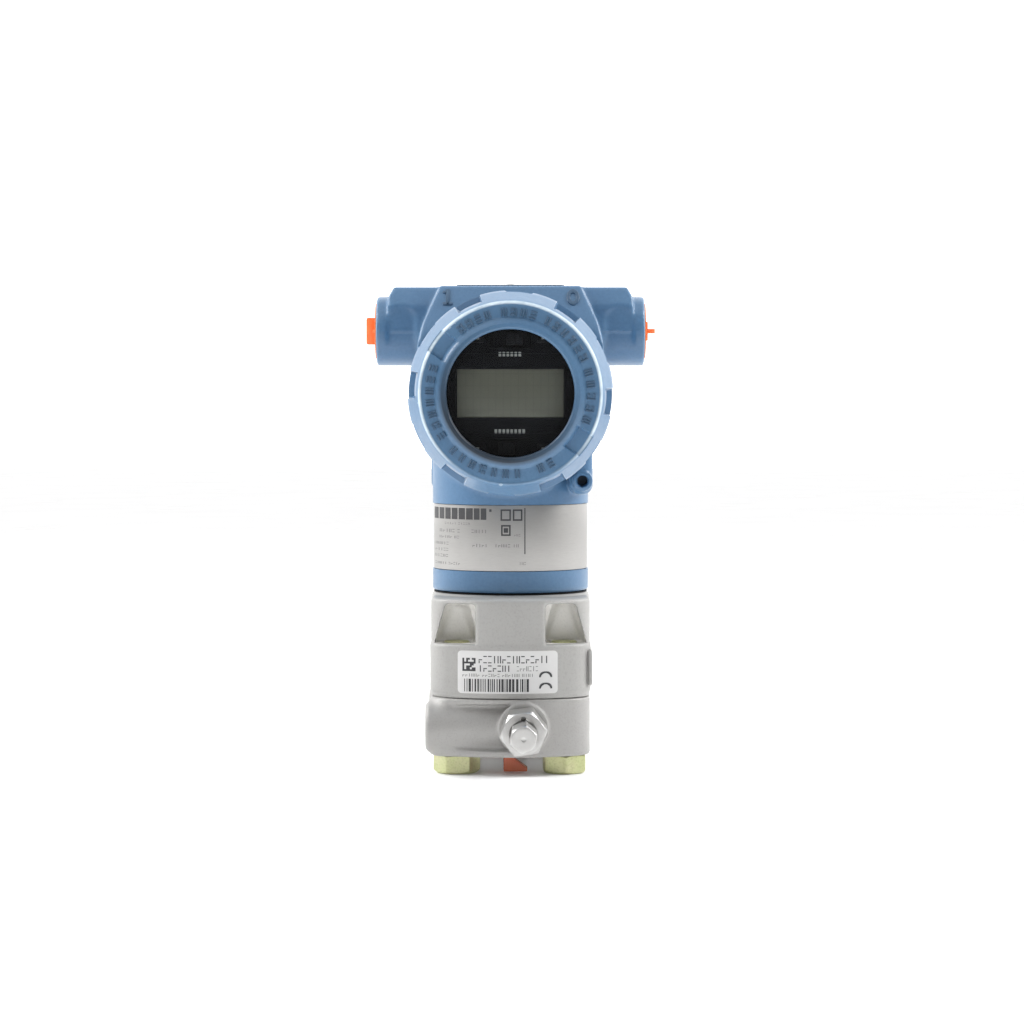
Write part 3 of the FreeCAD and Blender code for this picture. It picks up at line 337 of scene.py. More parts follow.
def display():
    """An unlit liquid crystal panel with faint, even segment columns."""
    m = N("display_panel")
    sep = m.add("ShaderNodeSeparateXYZ")
    m.link(m.co(), sep.inputs[0])
    col = m.math("FRACT", m.math("MULTIPLY", sep.outputs["X"], 1 / 0.0028))
    rowf = m.math("FRACT", m.math("MULTIPLY", sep.outputs["Z"], 1 / 0.0045))
    edge = m.math("MAXIMUM", m.math("LESS_THAN", col, 0.12), m.math("LESS_THAN", rowf, 0.07))
    c = m.mix(m.ramp(m.noise(25, 2), [(0.3, 0.0), (0.7, 1.0)]), (0.190, 0.183, 0.148), (0.170, 0.163, 0.132))
    c = m.mix(m.math("MULTIPLY", edge, 0.10), c, (0.05, 0.05, 0.045))
    m.link(c, m.b.inputs["Base Color"])
    m.link(m.scale_to(m.noise(60, 2), 0.28, 0.36), m.b.inputs["Roughness"])
    m.set(spec=0.35)
    return m.m


MAT["display"] = display()


def window():
    m = N("window_glass")
    t = m.t
    tr = m.add("ShaderNodeBsdfTransparent")
    tr.inputs["Color"].default_value = (0.93, 0.95, 0.95, 1)
    gl = m.add("ShaderNodeBsdfGlossy")
    gl.inputs["Color"].default_value = (1, 1, 1, 1)
    gl.inputs["Roughness"].default_value = 0.03
    m.link(m.scale_to(m.noise(40, 2), 0.02, 0.05), gl.inputs["Roughness"])
    fr = m.add("ShaderNodeFresnel")
    fr.inputs["IOR"].default_value = 1.22
    mx = m.add("ShaderNodeMixShader")
    m.link(fr.outputs[0], mx.inputs[0])
    m.link(tr.outputs[0], mx.inputs[1])
    m.link(gl.outputs[0], mx.inputs[2])
    m.link(mx.outputs[0], m.out.inputs["Surface"])
    return m.m


MAT["window"] = window()

# ---------------------------------------------------------------- mesh tools


def new_mesh(name, V, faces=None, quads=None, tris=None, sharp=32.0, smooth=True, flip=False):
    me = bpy.data.meshes.new(name)
    V = np.asarray(V, dtype=np.float64) * MM
    if faces is not None:
        me.from_pydata([tuple(v) for v in V], [], faces)
    else:
        quads = np.zeros((0, 4), np.int64) if quads is None else np.asarray(quads, np.int64)
        tris = np.zeros((0, 3), np.int64) if tris is None else np.asarray(tris, np.int64)
        if flip:
            quads, tris = quads[:, ::-1], tris[:, ::-1]
        me.vertices.add(len(V))
        me.vertices.foreach_set("co", V.astype(np.float32).ravel())
        loops = np.concatenate([quads.ravel(), tris.ravel()]).astype(np.int32)
        me.loops.add(len(loops))
        me.loops.foreach_set("vertex_index", loops)
        starts = np.concatenate([np.arange(len(quads)) * 4, len(quads) * 4 + np.arange(len(tris)) * 3]).astype(np.int32)
        me.polygons.add(len(starts))
        me.polygons.foreach_set("loop_start", starts)
        me.update(calc_edges=True)
    me.validate()
    finish_mesh(me, sharp, smooth)
    return me


def finish_mesh(me, sharp=32.0, smooth=True):
    me.polygons.foreach_set("use_smooth", np.full(len(me.polygons), smooth))
    if smooth:
        me.set_sharp_from_angle(angle=math.radians(sharp))
    me.update()


def put(name, me, body, mats, replaces=()):
    o = bpy.data.objects.new(name, me)
    scene.collection.objects.link(o)
    me.materials.clear()
    for m in (mats if isinstance(mats, (list, tuple)) else [mats]):
        me.materials.append(m)
    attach(o, body)
    if replaces:
        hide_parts(*replaces)
    return o


def volume(V, faces):
    s = 0.0
    for f in faces:
        a = V[f[0]]
        for i in range(1, len(f) - 1):
            s += np.dot(a, np.cross(V[f[i]], V[f[i + 1]]))
    return s / 6


class Soup:
    """Collects closed shells into one mesh, each face with a material index."""

    def __init__(self):
        self.V, self.F, self.M, self.n = [], [], [], 0

    def add(self, V, F, mat=0):
        V = np.asarray(V, float)
        if volume(V, F) < 0:
            F = [tuple(reversed(f)) for f in F]
        self.V.append(V)
        self.F += [tuple(i + self.n for i in f) for f in F]
        self.M += [mat] * len(F)
        self.n += len(V)
        return self

    def mesh(self, name, sharp=32.0):
        V = np.concatenate(self.V)
        me = bpy.data.meshes.new(name)
        me.from_pydata([tuple(v * MM) for v in V], [], self.F)
        me.polygons.foreach_set("material_index", np.array(self.M, np.int32))
        finish_mesh(me, sharp)
        return me


def fillet_profile(pts, seg=4):
    """pts: (a, b, radius); rounds each corner of the closed or open line."""
    out = []
    n = len(pts)
    for i, p in enumerate(pts):
        r = p[2] if len(p) > 2 else 0.0
        c = np.array(p[:2], float)
        if r <= 0:
            out.append(tuple(c))
            continue
        a = np.array(pts[i - 1][:2], float) - c
        b = np.array(pts[(i + 1) % n][:2], float) - c
        la, lb = np.linalg.norm(a), np.linalg.norm(b)
        a, b = a / la, b / lb
        ang = math.acos(max(-1, min(1, float(np.dot(a, b)))))
        if ang > math.pi - 0.05:
            out.append(tuple(c))
            continue
        t = min(r / math.tan(ang / 2), la * 0.48, lb * 0.48)
        rr = t * math.tan(ang / 2)
        bis = (a + b) / np.linalg.norm(a + b)
        o = c + bis * (rr / math.sin(ang / 2))
        s, e = c + a * t - o, c + b * t - o
        a0, a1 = math.atan2(s[1], s[0]), math.atan2(e[1], e[0])
        d = (a1 - a0 + math.pi) % (2 * math.pi) - math.pi
        for k in range(seg + 1):
            w = a0 + d * k / seg
            out.append((o[0] + rr * math.cos(w), o[1] + rr * math.sin(w)))
    return out


def frame_of(axis, at=(0, 0, 0)):
    """Matrix whose Z is the given axis."""
    R = {"+Z": Matrix.Identity(3), "-Y": Euler((math.pi / 2, 0, 0)).to_matrix(), "+Y": Euler((-math.pi / 2, 0, 0)).to_matrix(),
         "+X": Euler((0, math.pi / 2, 0)).to_matrix(), "-X": Euler((0, -math.pi / 2, 0)).to_matrix(),
         "-Z": Euler((math.pi, 0, 0)).to_matrix()}[axis]
    return np.array(R), np.array(at, float)


def lathe(prof, n=96, axis="+Z", at=(0, 0, 0), closed=False, warp=None, spin=0.0):
    """Revolves (radius, height) points.  An open line starts and ends on the axis.  warp(r, h, theta) -> (r, h)."""
    R, T = frame_of(axis, at)
    prof = list(prof)
    th = np.linspace(0, 2 * math.pi, n, endpoint=False) + math.radians(spin)
    pole0 = not closed and prof[0][0] < 1e-6
    pole1 = not closed and prof[-1][0] < 1e-6
    body = prof[(1 if pole0 else 0):(len(prof) - 1 if pole1 else len(prof))]
    V = []
    for r, h in body:
        rr, hh = np.full(n, r, float), np.full(n, h, float)
        if warp is not None:
            rr, hh = warp(rr, hh, th)
        V.append(np.stack([rr * np.cos(th), rr * np.sin(th), hh], 1))
    V = np.concatenate(V)
    F = []
    m = len(body)
    rows = m if closed else m - 1
    for i in range(rows):
        a, b = i * n, ((i + 1) % m) * n
        for j in range(n):
            k = (j + 1) % n
            F.append((a + j, a + k, b + k, b + j))
    if pole0:
        V = np.vstack([V, [0, 0, prof[0][1]]])
        c = len(V) - 1
        F += [(c, (j + 1) % n, j) for j in range(n)]
    elif not closed:
        F.append(tuple(reversed(range(n))))
    if pole1:
        V = np.vstack([V, [0, 0, prof[-1][1]]])
        c = len(V) - 1
        a = (m - 1) * n
        F += [(c, a + j, a + (j + 1) % n) for j in range(n)]
    elif not closed:
        a = (m - 1) * n
        F.append(tuple(a + j for j in range(n)))
    V = V @ R.T + T
    if volume(V, F) < 0:
        F = [tuple(reversed(f)) for f in F]
    return V, F


def hexed(ac, soft=0.35, spin=0.0):
    """Warp that flattens a round section to a hexagon of corner radius ac."""
    ap = ac * math.cos(math.pi / 6)

    def w(r, h, th):
        a = (th - math.radians(spin)) % (math.pi / 3) - math.pi / 6
        lim = ap / np.cos(a)
        k = soft
        d = np.clip(0.5 + 0.5 * (lim - r) / k, 0, 1)
        return lim * (1 - d) + r * d - k * d * (1 - d), h

    return w


def rbox(x0, x1, y0, y1, z0, z1, r=0.3, seg=2):
    """Box with rounded edges."""
    bm = bmesh.new()
    bmesh.ops.create_cube(bm, size=1.0)
    for v in bm.verts:
        v.co = Vector(((x0 + x1) / 2 + v.co.x * (x1 - x0), (y0 + y1) / 2 + v.co.y * (y1 - y0), (z0 + z1) / 2 + v.co.z * (z1 - z0)))
    if r > 0:
        bmesh.ops.bevel(bm, geom=list(bm.edges), offset=r, segments=seg, profile=0.5, affect="EDGES")
    V = np.array([v.co[:] for v in bm.verts])
    bm.verts.index_update()
    F = [tuple(v.index for v in f.verts) for f in bm.faces]
    bm.free()
    return V, F


def prism(pts, z0, z1, r=0.25, seg=2, rot=None, at=(0, 0, 0)):
    """An outline in XY given a height, with rounded edges."""
    bm = bmesh.new()
    lo = [bm.verts.new((x, y, z0)) for x, y in pts]
    hi = [bm.verts.new((x, y, z1)) for x, y in pts]
    n = len(pts)
    bm.faces.new(list(reversed(lo)))
    bm.faces.new(hi)
    for i in range(n):
        j = (i + 1) % n
        bm.faces.new((lo[i], lo[j], hi[j], hi[i]))
    bmesh.ops.recalc_face_normals(bm, faces=bm.faces)
    if r > 0:
        bmesh.ops.bevel(bm, geom=list(bm.edges), offset=r, segments=seg, profile=0.5, affect="EDGES", clamp_overlap=True)
    V = np.array([v.co[:] for v in bm.verts])
    bm.verts.index_update()
    F = [tuple(v.index for v in f.verts) for f in bm.faces]
    bm.free()
    if rot is not None:
        V = V @ np.array(rot).T
    return V + np.array(at, float), F


def arc_patch(R, a0, a1, z0, z1, thick, n=None, centre=(0, 0)):
    """A thin closed patch lying on an upright cylinder; angles in degrees."""
    n = n or max(1, int(abs(a1 - a0) / 3))
    V, F = [], []
    for k in range(n + 1):
        a = math.radians(a0 + (a1 - a0) * k / n)
        for rr in (R, R + thick):
            for z in (z0, z1):
                V.append((centre[0] + rr * math.cos(a), centre[1] + rr * math.sin(a), z))
    for k in range(n):
        p, q = 4 * k, 4 * k + 4
        F += [(p, p + 1, q + 1, q), (p + 2, q + 2, q + 3, p + 3), (p, q, q + 2, p + 2), (p + 1, p + 3, q + 3, q + 1)]
    F += [(0, 2, 3, 1), (4 * n, 4 * n + 1, 4 * n + 3, 4 * n + 2)]
    return np.array(V), F


def soup_of(*shells):
    s = Soup()
    for V, F in shells:
        s.add(V, F)
    return s


# ---- smooth solids from distance fields (millimetres)

def smin(a, b, k):
    h = np.clip(0.5 + 0.5 * (b - a) / k, 0, 1)
    return b + (a - b) * h - k * h * (1 - h)


def smax(a, b, k):
    return -smin(-a, -b, k)


def s_cyl(u, v, w, r, w0, w1, e=0.5):
    q0 = np.sqrt(u * u + v * v) - (r - e)
    q1 = np.abs(w - (w0 + w1) / 2) - ((w1 - w0) / 2 - e)
    return np.minimum(np.maximum(q0, q1), 0) + np.sqrt(np.maximum(q0, 0) ** 2 + np.maximum(q1, 0) ** 2) - e


def s_box(x, y, z, x0, x1, y0, y1, z0, z1, e=0.5):
    a = np.abs(x - (x0 + x1) / 2) - ((x1 - x0) / 2 - e)
    b = np.abs(y - (y0 + y1) / 2) - ((y1 - y0) / 2 - e)
    c = np.abs(z - (z0 + z1) / 2) - ((z1 - z0) / 2 - e)
    return np.minimum(np.maximum(np.maximum(a, b), c), 0) + np.sqrt(
        np.maximum(a, 0) ** 2 + np.maximum(b, 0) ** 2 + np.maximum(c, 0) ** 2) - e


def s_cone(u, v, w, r0, w0, r1, w1):
    """Side and ends of a cone frustum along w."""
    rad = np.sqrt(u * u + v * v)
    k = (r1 - r0) / (w1 - w0)
    side = (rad - (r0 + k * (w - w0))) / math.sqrt(1 + k * k)
    return np.maximum(side, np.maximum(w0 - w, w - w1))


def field_mesh(name, f, lo, hi, h, adapt=0.0, sharp=40.0):
    lo, hi = np.array(lo, float), np.array(hi, float)
    n = np.ceil((hi - lo) / h).astype(int) + 1
    ax = [(lo[k] + np.arange(n[k]) * h).astype(np.float32) for k in range(3)]
    A = np.empty(tuple(n), np.float32)
    step = 24
    for i in range(0, n[0], step):
        A[i:i + step] = f(ax[0][i:i + step, None, None], ax[1][None, :, None], ax[2][None, None, :])
    np.clip(A, -3 * h, 3 * h, out=A)
    g = openvdb.FloatGrid(float(3 * h))
    g.copyFromArray(A)
    p, t, q = g.convertToPolygons(0.0, adapt)
    V = lo + np.asarray(p, np.float64) * h
    t, q = np.asarray(t, np.int64), np.asarray(q, np.int64)
    s = 0.0
    if len(q):
        s += np.einsum("ij,ij->", V[q[:, 0]], np.cross(V[q[:, 1]], V[q[:, 2]])) + np.einsum(
            "ij,ij->", V[q[:, 0]], np.cross(V[q[:, 2]], V[q[:, 3]]))
    if len(t):
        s += np.einsum("ij,ij->", V[t[:, 0]], np.cross(V[t[:, 1]], V[t[:, 2]]))
    return new_mesh(name, V, quads=q, tris=t, sharp=sharp, flip=s < 0)


def temp_obj(me):
    o = bpy.data.objects.new("tmp", me)
    scene.collection.objects.link(o)
    return o


def evaluated(o):
    dg = bpy.context.evaluated_depsgraph_get()
    dg.update()
    me = bpy.data.meshes.new_from_object(o.evaluated_get(dg))
    return me


def carve(me, cutters, op="DIFFERENCE", sharp=32.0):
    """Cuts closed shells out of a mesh, each given as (V, F)."""
    o = temp_obj(me)
    for V, F in cutters:
        c = temp_obj(new_mesh("cutter", V, faces=F, sharp=32))
        mod = o.modifiers.new("b", "BOOLEAN")
        mod.operation = op
        mod.solver = "MANIFOLD"
        mod.object = c
        res = evaluated(o)
        o.modifiers.clear()
        old = o.data
        o.data = res
        bpy.data.objects.remove(c)
        if len(res.polygons) == 0:
            raise RuntimeError("boolean emptied " + me.name)
    out = o.data
    bpy.data.objects.remove(o)
    finish_mesh(out, sharp)
    return out


def thin_out(me, target, sharp=32.0):
    n = sum(len(p.vertices) - 2 for p in me.polygons)
    if n <= target:
        return me
    o = temp_obj(me)
    d = o.modifiers.new("d", "DECIMATE")
    d.ratio = target / n
    res = evaluated(o)
    bpy.data.objects.remove(o)
    finish_mesh(res, sharp)
    return res


def tube(r0, r1, h0, h1, n=96, axis="+Z", at=(0, 0, 0), e=0.0):
    """Ring or, with r0 of 0, a plug; used as cutter or piece."""
    if r0 <= 0:
        return lathe([(0, h0), (r1, h0), (r1, h1), (0, h1)], n, axis, at)
    pts = [(r0, h0, e), (r1, h0, e), (r1, h1, e), (r0, h1, e)]
    return lathe(fillet_profile(pts) if e else [p[:2] for p in pts], n, axis, at, closed=True)


def thread(r, depth, pitch, y0, y1, r_in, n=120, axis="+Z", at=(0, 0, 0), per=10):
    """An outside screw thread on a sleeve, run out at both ends."""
    steps = max(4, int((y1 - y0) / pitch * per))
    prof = [(r_in, y0)] + [(r, y0 + (y1 - y0) * k / steps) for k in range(steps + 1)] + [(r_in, y1)]

    def w(rr, hh, th):
        ph = (hh / pitch - th / (2 * math.pi)) % 1.0
        tri = np.abs(ph * 2 - 1)
        tri = np.clip(tri * 1.25 - 0.1, 0, 1)
        run = np.clip(np.minimum(hh - y0, y1 - hh) / (pitch * 0.8), 0, 1)
        cut = depth * (1 - (1 - tri) * run)
        return np.where(rr > r - 1e-6, r - cut, rr), hh

    return lathe(prof, n, axis, at, closed=True, warp=w)

# ---------------------------------------------------------------- housing casting
STEP = 0.62


def bow(x, y, half, r, off, k=7.0):
    """Upright block with bowed front and rear and soft corners."""
    ay = np.abs(y)
    return smax(np.abs(x) - half, np.sqrt(x * x + (ay + off) ** 2) - r, k)


def slab(d2, z, z0, z1, e):
    """Gives a flat outline a height, with the rim rounded by e."""
    w = np.abs(z - (z0 + z1) / 2) - ((z1 - z0) / 2 - e)
    a = d2 + e
    return np.minimum(np.maximum(a, w), 0) + np.sqrt(np.maximum(a, 0) ** 2 + np.maximum(w, 0) ** 2) - e


def f_housing(x, y, z):
    ax_, ay = np.abs(x), np.abs(y)
    neck = s_cyl(x, y, z, 30.5, 69.1, 142.0, 0.7)
    barrel = s_cyl(x, z - AZ, y, 37.2, -41.6, 37.6, 1.2)
    d = smin(neck, barrel, 3.5)
    boss = s_cyl(y, z - 170.3, x, 13.5, -52.3, 52.3, 1.0)
    # dished faces of the entry bosses, front and rear
    bowl = np.sqrt((ax_ - 42.4) ** 2 + np.maximum(z - 174.4, 0) ** 2) - 5.4
    bowl = np.maximum(bowl, 160.0 - z)
    web = s_box(x, y, z, -47.6, 47.6, -13.0, 13.0, 170.3, 187.3, 0.6)
    web = smax(web, ax_ * 0.871 + (z - 187.3) * 0.491 - 45.4 * 0.871, 0.5)
    web = smax(web, (ay - 13.0) * 0.88 + (z - 179.5) * 0.475, 0.8)
    arm = smin(boss, web, 1.2)
    arm = smax(arm, -smax(bowl, 12.6 - ay, 1.6), 1.4)
    side = ax_ * 0.914 + (z - 187.3) * 0.406 - TW_X * 0.914
    front = ay * 0.864 + (z - 187.3) * 0.504 - 24.0 * 0.864
    tower = smax(side, front, 1.0)
    tower = smax(tower, z - 187.3, 0.8)
    tower = np.maximum(tower, 148.0 - z)
    tower = smax(tower, np.maximum(ax_ - 35.6, ay - 36.6), 3.0)
    d = smin(d, arm, 2.4)
    d = smin(d, tower, 1.6)
    # a faint parting ridge along the entry bosses
    ridge = np.maximum(np.abs(z - 170.4) - 0.2, np.maximum(ay - 13.58, 33.0 - ax_))
    d = np.minimum(d, np.maximum(ridge, ax_ - 51.0))
    for sg, yf in ((1, -41.0), (-1, 37.0)):
        u, v = x * sg, -y * sg
        far = abs(yf)
        lug = s_box(u, v, z, 22.5, 31.3, 6.0, far, 107.2, 126.0, 3.9)
        lug = np.maximum(lug, np.maximum(v - far, 5.0 - v))
        d = smin(d, lug, 1.2)
        d = smin(d, s_cyl(u - 27.4, z - 112.6, v, 3.9, far - 3.0, far + 0.45, 0.35), 0.4)
    return d


TW_X = 27.2


def blind(r, y0, y1):
    return tube(0, r, y0, y1, 128, "+Z")


def on_y(r, y0, y1, z=AZ, x=0.0, n=128):
    """Cutter along Y from y0 to y1."""
    return lathe([(0, 0), (r, 0), (r, y1 - y0), (0, y1 - y0)], n, "+Y", (x, y0, z))


def on_x(r, x0, x1, z, y=0.0, n=96):
    return lathe([(0, 0), (r, 0), (r, x1 - x0), (0, x1 - x0)], n, "+X", (x0, y, z))


def on_z(r, z0, z1, x=0.0, y=0.0, n=96):
    return lathe([(0, z0), (r, z0), (r, z1), (0, z1)], n, "+Z", (x, y, 0))


def cone_y(r0, r1, y0, y1, x, z, n=64):
    return lathe([(0, 0), (r0, 0), (r1, y1 - y0), (0, y1 - y0)], n, "+Y", (x, y0, z))


me = field_mesh("housing", f_housing, (-53.6, -42.8, 67.9), (53.6, 38.8, 188.6), STEP, 0.0, 35)
me = thin_out(me, 110000, 35)
cuts = [on_y(31.0, -60.0, -11.0, n=160), on_y(31.0, -7.5, 60.0, n=160), on_z(22.4, 60.0, 104.0, n=128),
        rbox(-9, 9, -20.0, -12.0, 103.0, 122.0, 0),
        on_x(10.3, 35.3, 60.0, 170.3), on_x(10.3, -60.0, -35.3, 170.3), on_x(7.0, -36.0, 36.0, 170.3),
        on_y(2.0, -45.0, -27.0, 112.6, 27.4, 64), cone_y(3.2, 1.9, -42.6, -40.4, 27.4, 112.6),
        on_y(2.0, 23.0, 45.0, 112.6, -27.4, 64), cone_y(1.9, 3.2, 36.4, 38.6, -27.4, 112.6),
        on_z(1.6, 180.3, 190.0, n=48), on_z(3.3, 178.3, 190.0, -15.0, 0, 64), on_z(3.3, 178.3, 190.0, 15.0, 0, 64),
        on_y(2.1, 20.0, 34.0, 73.2, 0, 48),
        tube(29.55, 36.0, 77.4, 103.1, 160)]
me = carve(me, cuts)
housing = put("housing_casting", me, "housing", MAT["blue"], ["electronics_housing"])

# screwed spigots that the covers run on
sp = Soup()
sp.add(*thread(33.95, 0.75, 1.5875, -56.4, -40.6, 31.04, 144, "+Y", (0, 0, AZ), 8))
sp.add(*thread(33.95, 0.75, 1.5875, 36.6, 48.4, 31.04, 144, "+Y", (0, 0, AZ), 8))
put("housing_threads", sp.mesh("threads", 50), "housing", MAT["dark_steel"])


def plane_at(point, normal, up=(0, 0, 1)):
    """Rotation whose Z is the normal and whose Y runs up the face."""
    n = Vector(normal).normalized()
    x = Vector(up).cross(n).normalized()
    y = n.cross(x)
    return np.array([[x[0], y[0], n[0]], [x[1], y[1], n[1]], [x[2], y[2], n[2]]]), np.array(point, float)


# raised marks by the two buttons: a bar and a ring
def mark_frame(x, sgn):
    z = 182.7
    y = sgn * (24.0 + (187.3 - z) * 0.504 / 0.864)
    return plane_at((x, y, z), (0, sgn * 0.864, 0.504))


mk = Soup()
for sgn in (-1, 1):
    R, T = mark_frame(-24.0 * (1 if sgn < 0 else -1), sgn)
    for a, b, c, d in ((-0.75, 0.75, -3.6, 3.6), (-1.9, 1.9, -3.6, -2.3), (-1.9, -0.6, 1.7, 2.9)):
        V, F = rbox(a, b, c, d, -0.8, 0.42, 0.22)
        mk.add(V @ R.T + T, F)
    R, T = mark_frame(24.0 * (1 if sgn < 0 else -1), sgn)
    n = 36
    V, F = lathe(fillet_profile([(1.15, -0.8), (2.45, -0.8), (2.45, 0.42, 0.25), (1.15, 0.42, 0.25)]), n, closed=True)
    V = V * np.array([1.0, 1.5, 1.0])
    mk.add(V @ R.T + T, F)
put("cast_marks", mk.mesh("marks"), "housing", MAT["blue_mark"])

# ---------------------------------------------------------------- covers


def dense(pts, step=0.9):
    out = [pts[0]]
    for a, b in zip(pts[:-1], pts[1:]):
        n = max(1, int(math.dist(a, b) / step))
        for k in range(1, n + 1):
            out.append((a[0] + (b[0] - a[0]) * k / n, a[1] + (b[1] - a[1]) * k / n))
    return out


def soft_step(x, a, b):
    t = np.clip((x - a) / (b - a), 0, 1)
    return t * t * (3 - 2 * t)


def angle_in(th, centre, half, soft=0.35):
    """1 inside centre +- half degrees, fading over soft degrees."""
    d = np.abs((np.degrees(th) - centre + 180) % 360 - 180)
    return 1 - soft_step(d, half - soft, half + soft)


def cover_profile(full, face, blind_cap):
    top = [(36.9, 0, 0.2), (38.4, 0, 0.5), (38.4, full - 14.0 if not blind_cap else 9.0, 1.0),
           (37.6, full - 11.4 if not blind_cap else 11.0, 0.8), (34.3, face - 1.1, 0.5), (33.4, face, 0.5)]
    return top


N_TH = 480


def cover_mesh(name, full, face, axis, y0, blind_cap, sgn):
    if not blind_cap:
        prof = [(36.9, 0, 0.15), (38.4, 0, 0.5), (38.4, 17.6, 1.2), (37.75, 20.2, 1.0), (34.55, 29.0, 0.6), (33.75, 30.45, 0.55),
                (32.9, 30.15, 0.3), (28.3, 30.15, 0.5), (25.7, 31.55, 0.5), (24.3, 31.6, 0.5), (23.7, 31.0, 0.3),
                (23.7, 27.6), (31.0, 27.6), (31.0, 15.0), (34.3, 15.0), (34.3, 1.9), (36.9, 1.9)]
        h_low, h_cone, h_in = 5.5, 17.6, 27.6
    else:
        prof = [(36.9, 0, 0.15), (38.4, 0, 0.5), (38.4, 9.0, 0.8), (37.6, 11.0, 0.8), (34.55, 14.2, 0.4), (33.75, 15.1, 0.4),
                (32.9, 14.85, 0.3), (26.4, 14.85, 0.8), (24.8, 13.7, 0.8), (0, 13.7)]
        inner = [(0, 10.5), (29.5, 10.5), (34.3, 11.7), (34.3, 1.9), (36.9, 1.9)]
        h_low, h_cone, h_in = 3.0, 9.0, 12.9
    pts = fillet_profile(prof, 3)
    if blind_cap:
        pts = fillet_profile([(0.0, 13.7)] + list(reversed(prof[:-1])) + [], 3)
        pts = [(0.0, 13.7)] + pts[1:]
        pts = pts + list(reversed(inner))
        # the line now runs from the axis on the face, over the rim, and back to the axis inside
    pts = dense(pts if blind_cap else pts + [pts[0]], 0.85)
    if not blind_cap:
        pts = pts[:-1]

    def outer(h):
        if not blind_cap:
            return np.interp(h, [0, 17.6, 20.2, 29.0, 30.45], [38.4, 38.4, 37.75, 34.55, 33.75])
        return np.interp(h, [0, 9.0, 11.0, 14.2, 15.1], [38.4, 38.4, 37.6, 34.55, 33.75])

    top = 30.15 if not blind_cap else 14.85
    flat_in = 27.2 if not blind_cap else 25.6

    def warp(r, h, th):
        th = th * sgn if sgn > 0 else math.pi - th
        on_out = (r > outer(h) - 0.45) & (h > 0.6) & (r > 33.9)
        cut = np.zeros_like(r)
        for k in range(6):
            deep = 2.5 + 0.35 * soft_step(h, h_cone - 2.0, h_cone)
            cut += deep * angle_in(th, 55 + 60 * k, 7.3) * soft_step(h, h_low - 0.3, h_low + 0.3) * (
                1 - soft_step(h, h_in - 1.9, h_in - 0.3))
            cut += 0.85 * angle_in(th, 25 + 60 * k, 7.3) * soft_step(h, h_low + 3.2, h_low + 3.8) * (
                1 - soft_step(h, h_cone + 0.6, h_cone + 2.2))
        r2 = np.where(on_out, r - cut, r)
        h2 = h.copy()
        for a in (145.0, -35.0):
            d = np.abs(r * np.sin(th - math.radians(a)))
            ahead = np.cos(th - math.radians(a)) > 0
            w = (1 - soft_step(d, 4.35, 4.75)) * ahead * soft_step(r, flat_in, flat_in + 0.6) * (h > top - 2.2)
            h2 = np.where(w > 0, np.minimum(h2, h2 * (1 - w) + w * (top - 1.5)), h2)
        return r2, h2

    V, F = lathe(pts, N_TH, axis, (0, y0, AZ), closed=not blind_cap, warp=warp)
    return Soup().add(V, F).mesh(name, 30)


me = cover_mesh("front_cover", 31.6, 30.4, "-Y", -42.4, False, 1)
put("cover_front", me, "front_cover", MAT["cover"], ["front_cover"])
me = cover_mesh("rear_cover", 15.1, 15.1, "+Y", 38.4, True, -1)
put("cover_rear", me, "rear_cover", MAT["cover"], ["rear_cover"])


def tick_ring(name, body, y_face, sgn, seed, seats):
    """Short raised strokes round the cover's face, in groups, with no meaning."""
    rnd = random.Random(seed)
    s = Soup()
    for a0, a1 in seats:
        n = max(1, round((a1 - a0) / 7.9))
        for k in range(n):
            a = math.radians(a0 + (a1 - a0) * (k + 0.5) / n)
            kind = rnd.choice((0, 1, 1, 2, 3))
            strokes = {0: [(-0.95, -0.35, 28.3, 31.5), (0.35, 0.95, 28.3, 31.5)],
                       1: [(-1.25, -0.75, 28.3, 31.5), (-0.25, 0.25, 28.3, 31.5), (0.75, 1.25, 28.3, 31.5)],
                       2: [(-1.2, 1.2, 28.3, 28.95), (-1.2, 1.2, 29.6, 30.2), (-1.2, 1.2, 30.85, 31.5)],
                       3: [(-1.2, -0.6, 28.3, 31.5), (-0.2, 1.25, 28.3, 29.5), (-0.2, 1.25, 30.3, 31.5)]}[kind]
            for u0, u1, r0, r1 in strokes:
                V, F = rbox(u0, u1, -0.4, 0.4, r0, r1, 0.14, 1)
                c, sn = math.cos(a), math.sin(a)
                # local X runs along the ring, local Z outwards
                P = np.stack([V[:, 2] * c - V[:, 0] * sn, V[:, 1] + y_face, V[:, 2] * sn + V[:, 0] * c + AZ], 1)
                if sgn > 0:
                    P[:, 0] *= -1
                s.add(P, F)
    return put(name, s.mesh(name), body, MAT["blue_mark"])


SEATS = [(-24, 19), (22, 66), (70, 98), (103, 131), (158, 216), (221, 279), (288, 304)]
tick_ring("cover_front_ticks", "front_cover", -72.55 - 0.25, -1, 3, SEATS)
tick_ring("cover_rear_ticks", "rear_cover", 53.25 + 0.20, 1, 5, SEATS)

# ---------------------------------------------------------------- sensor module


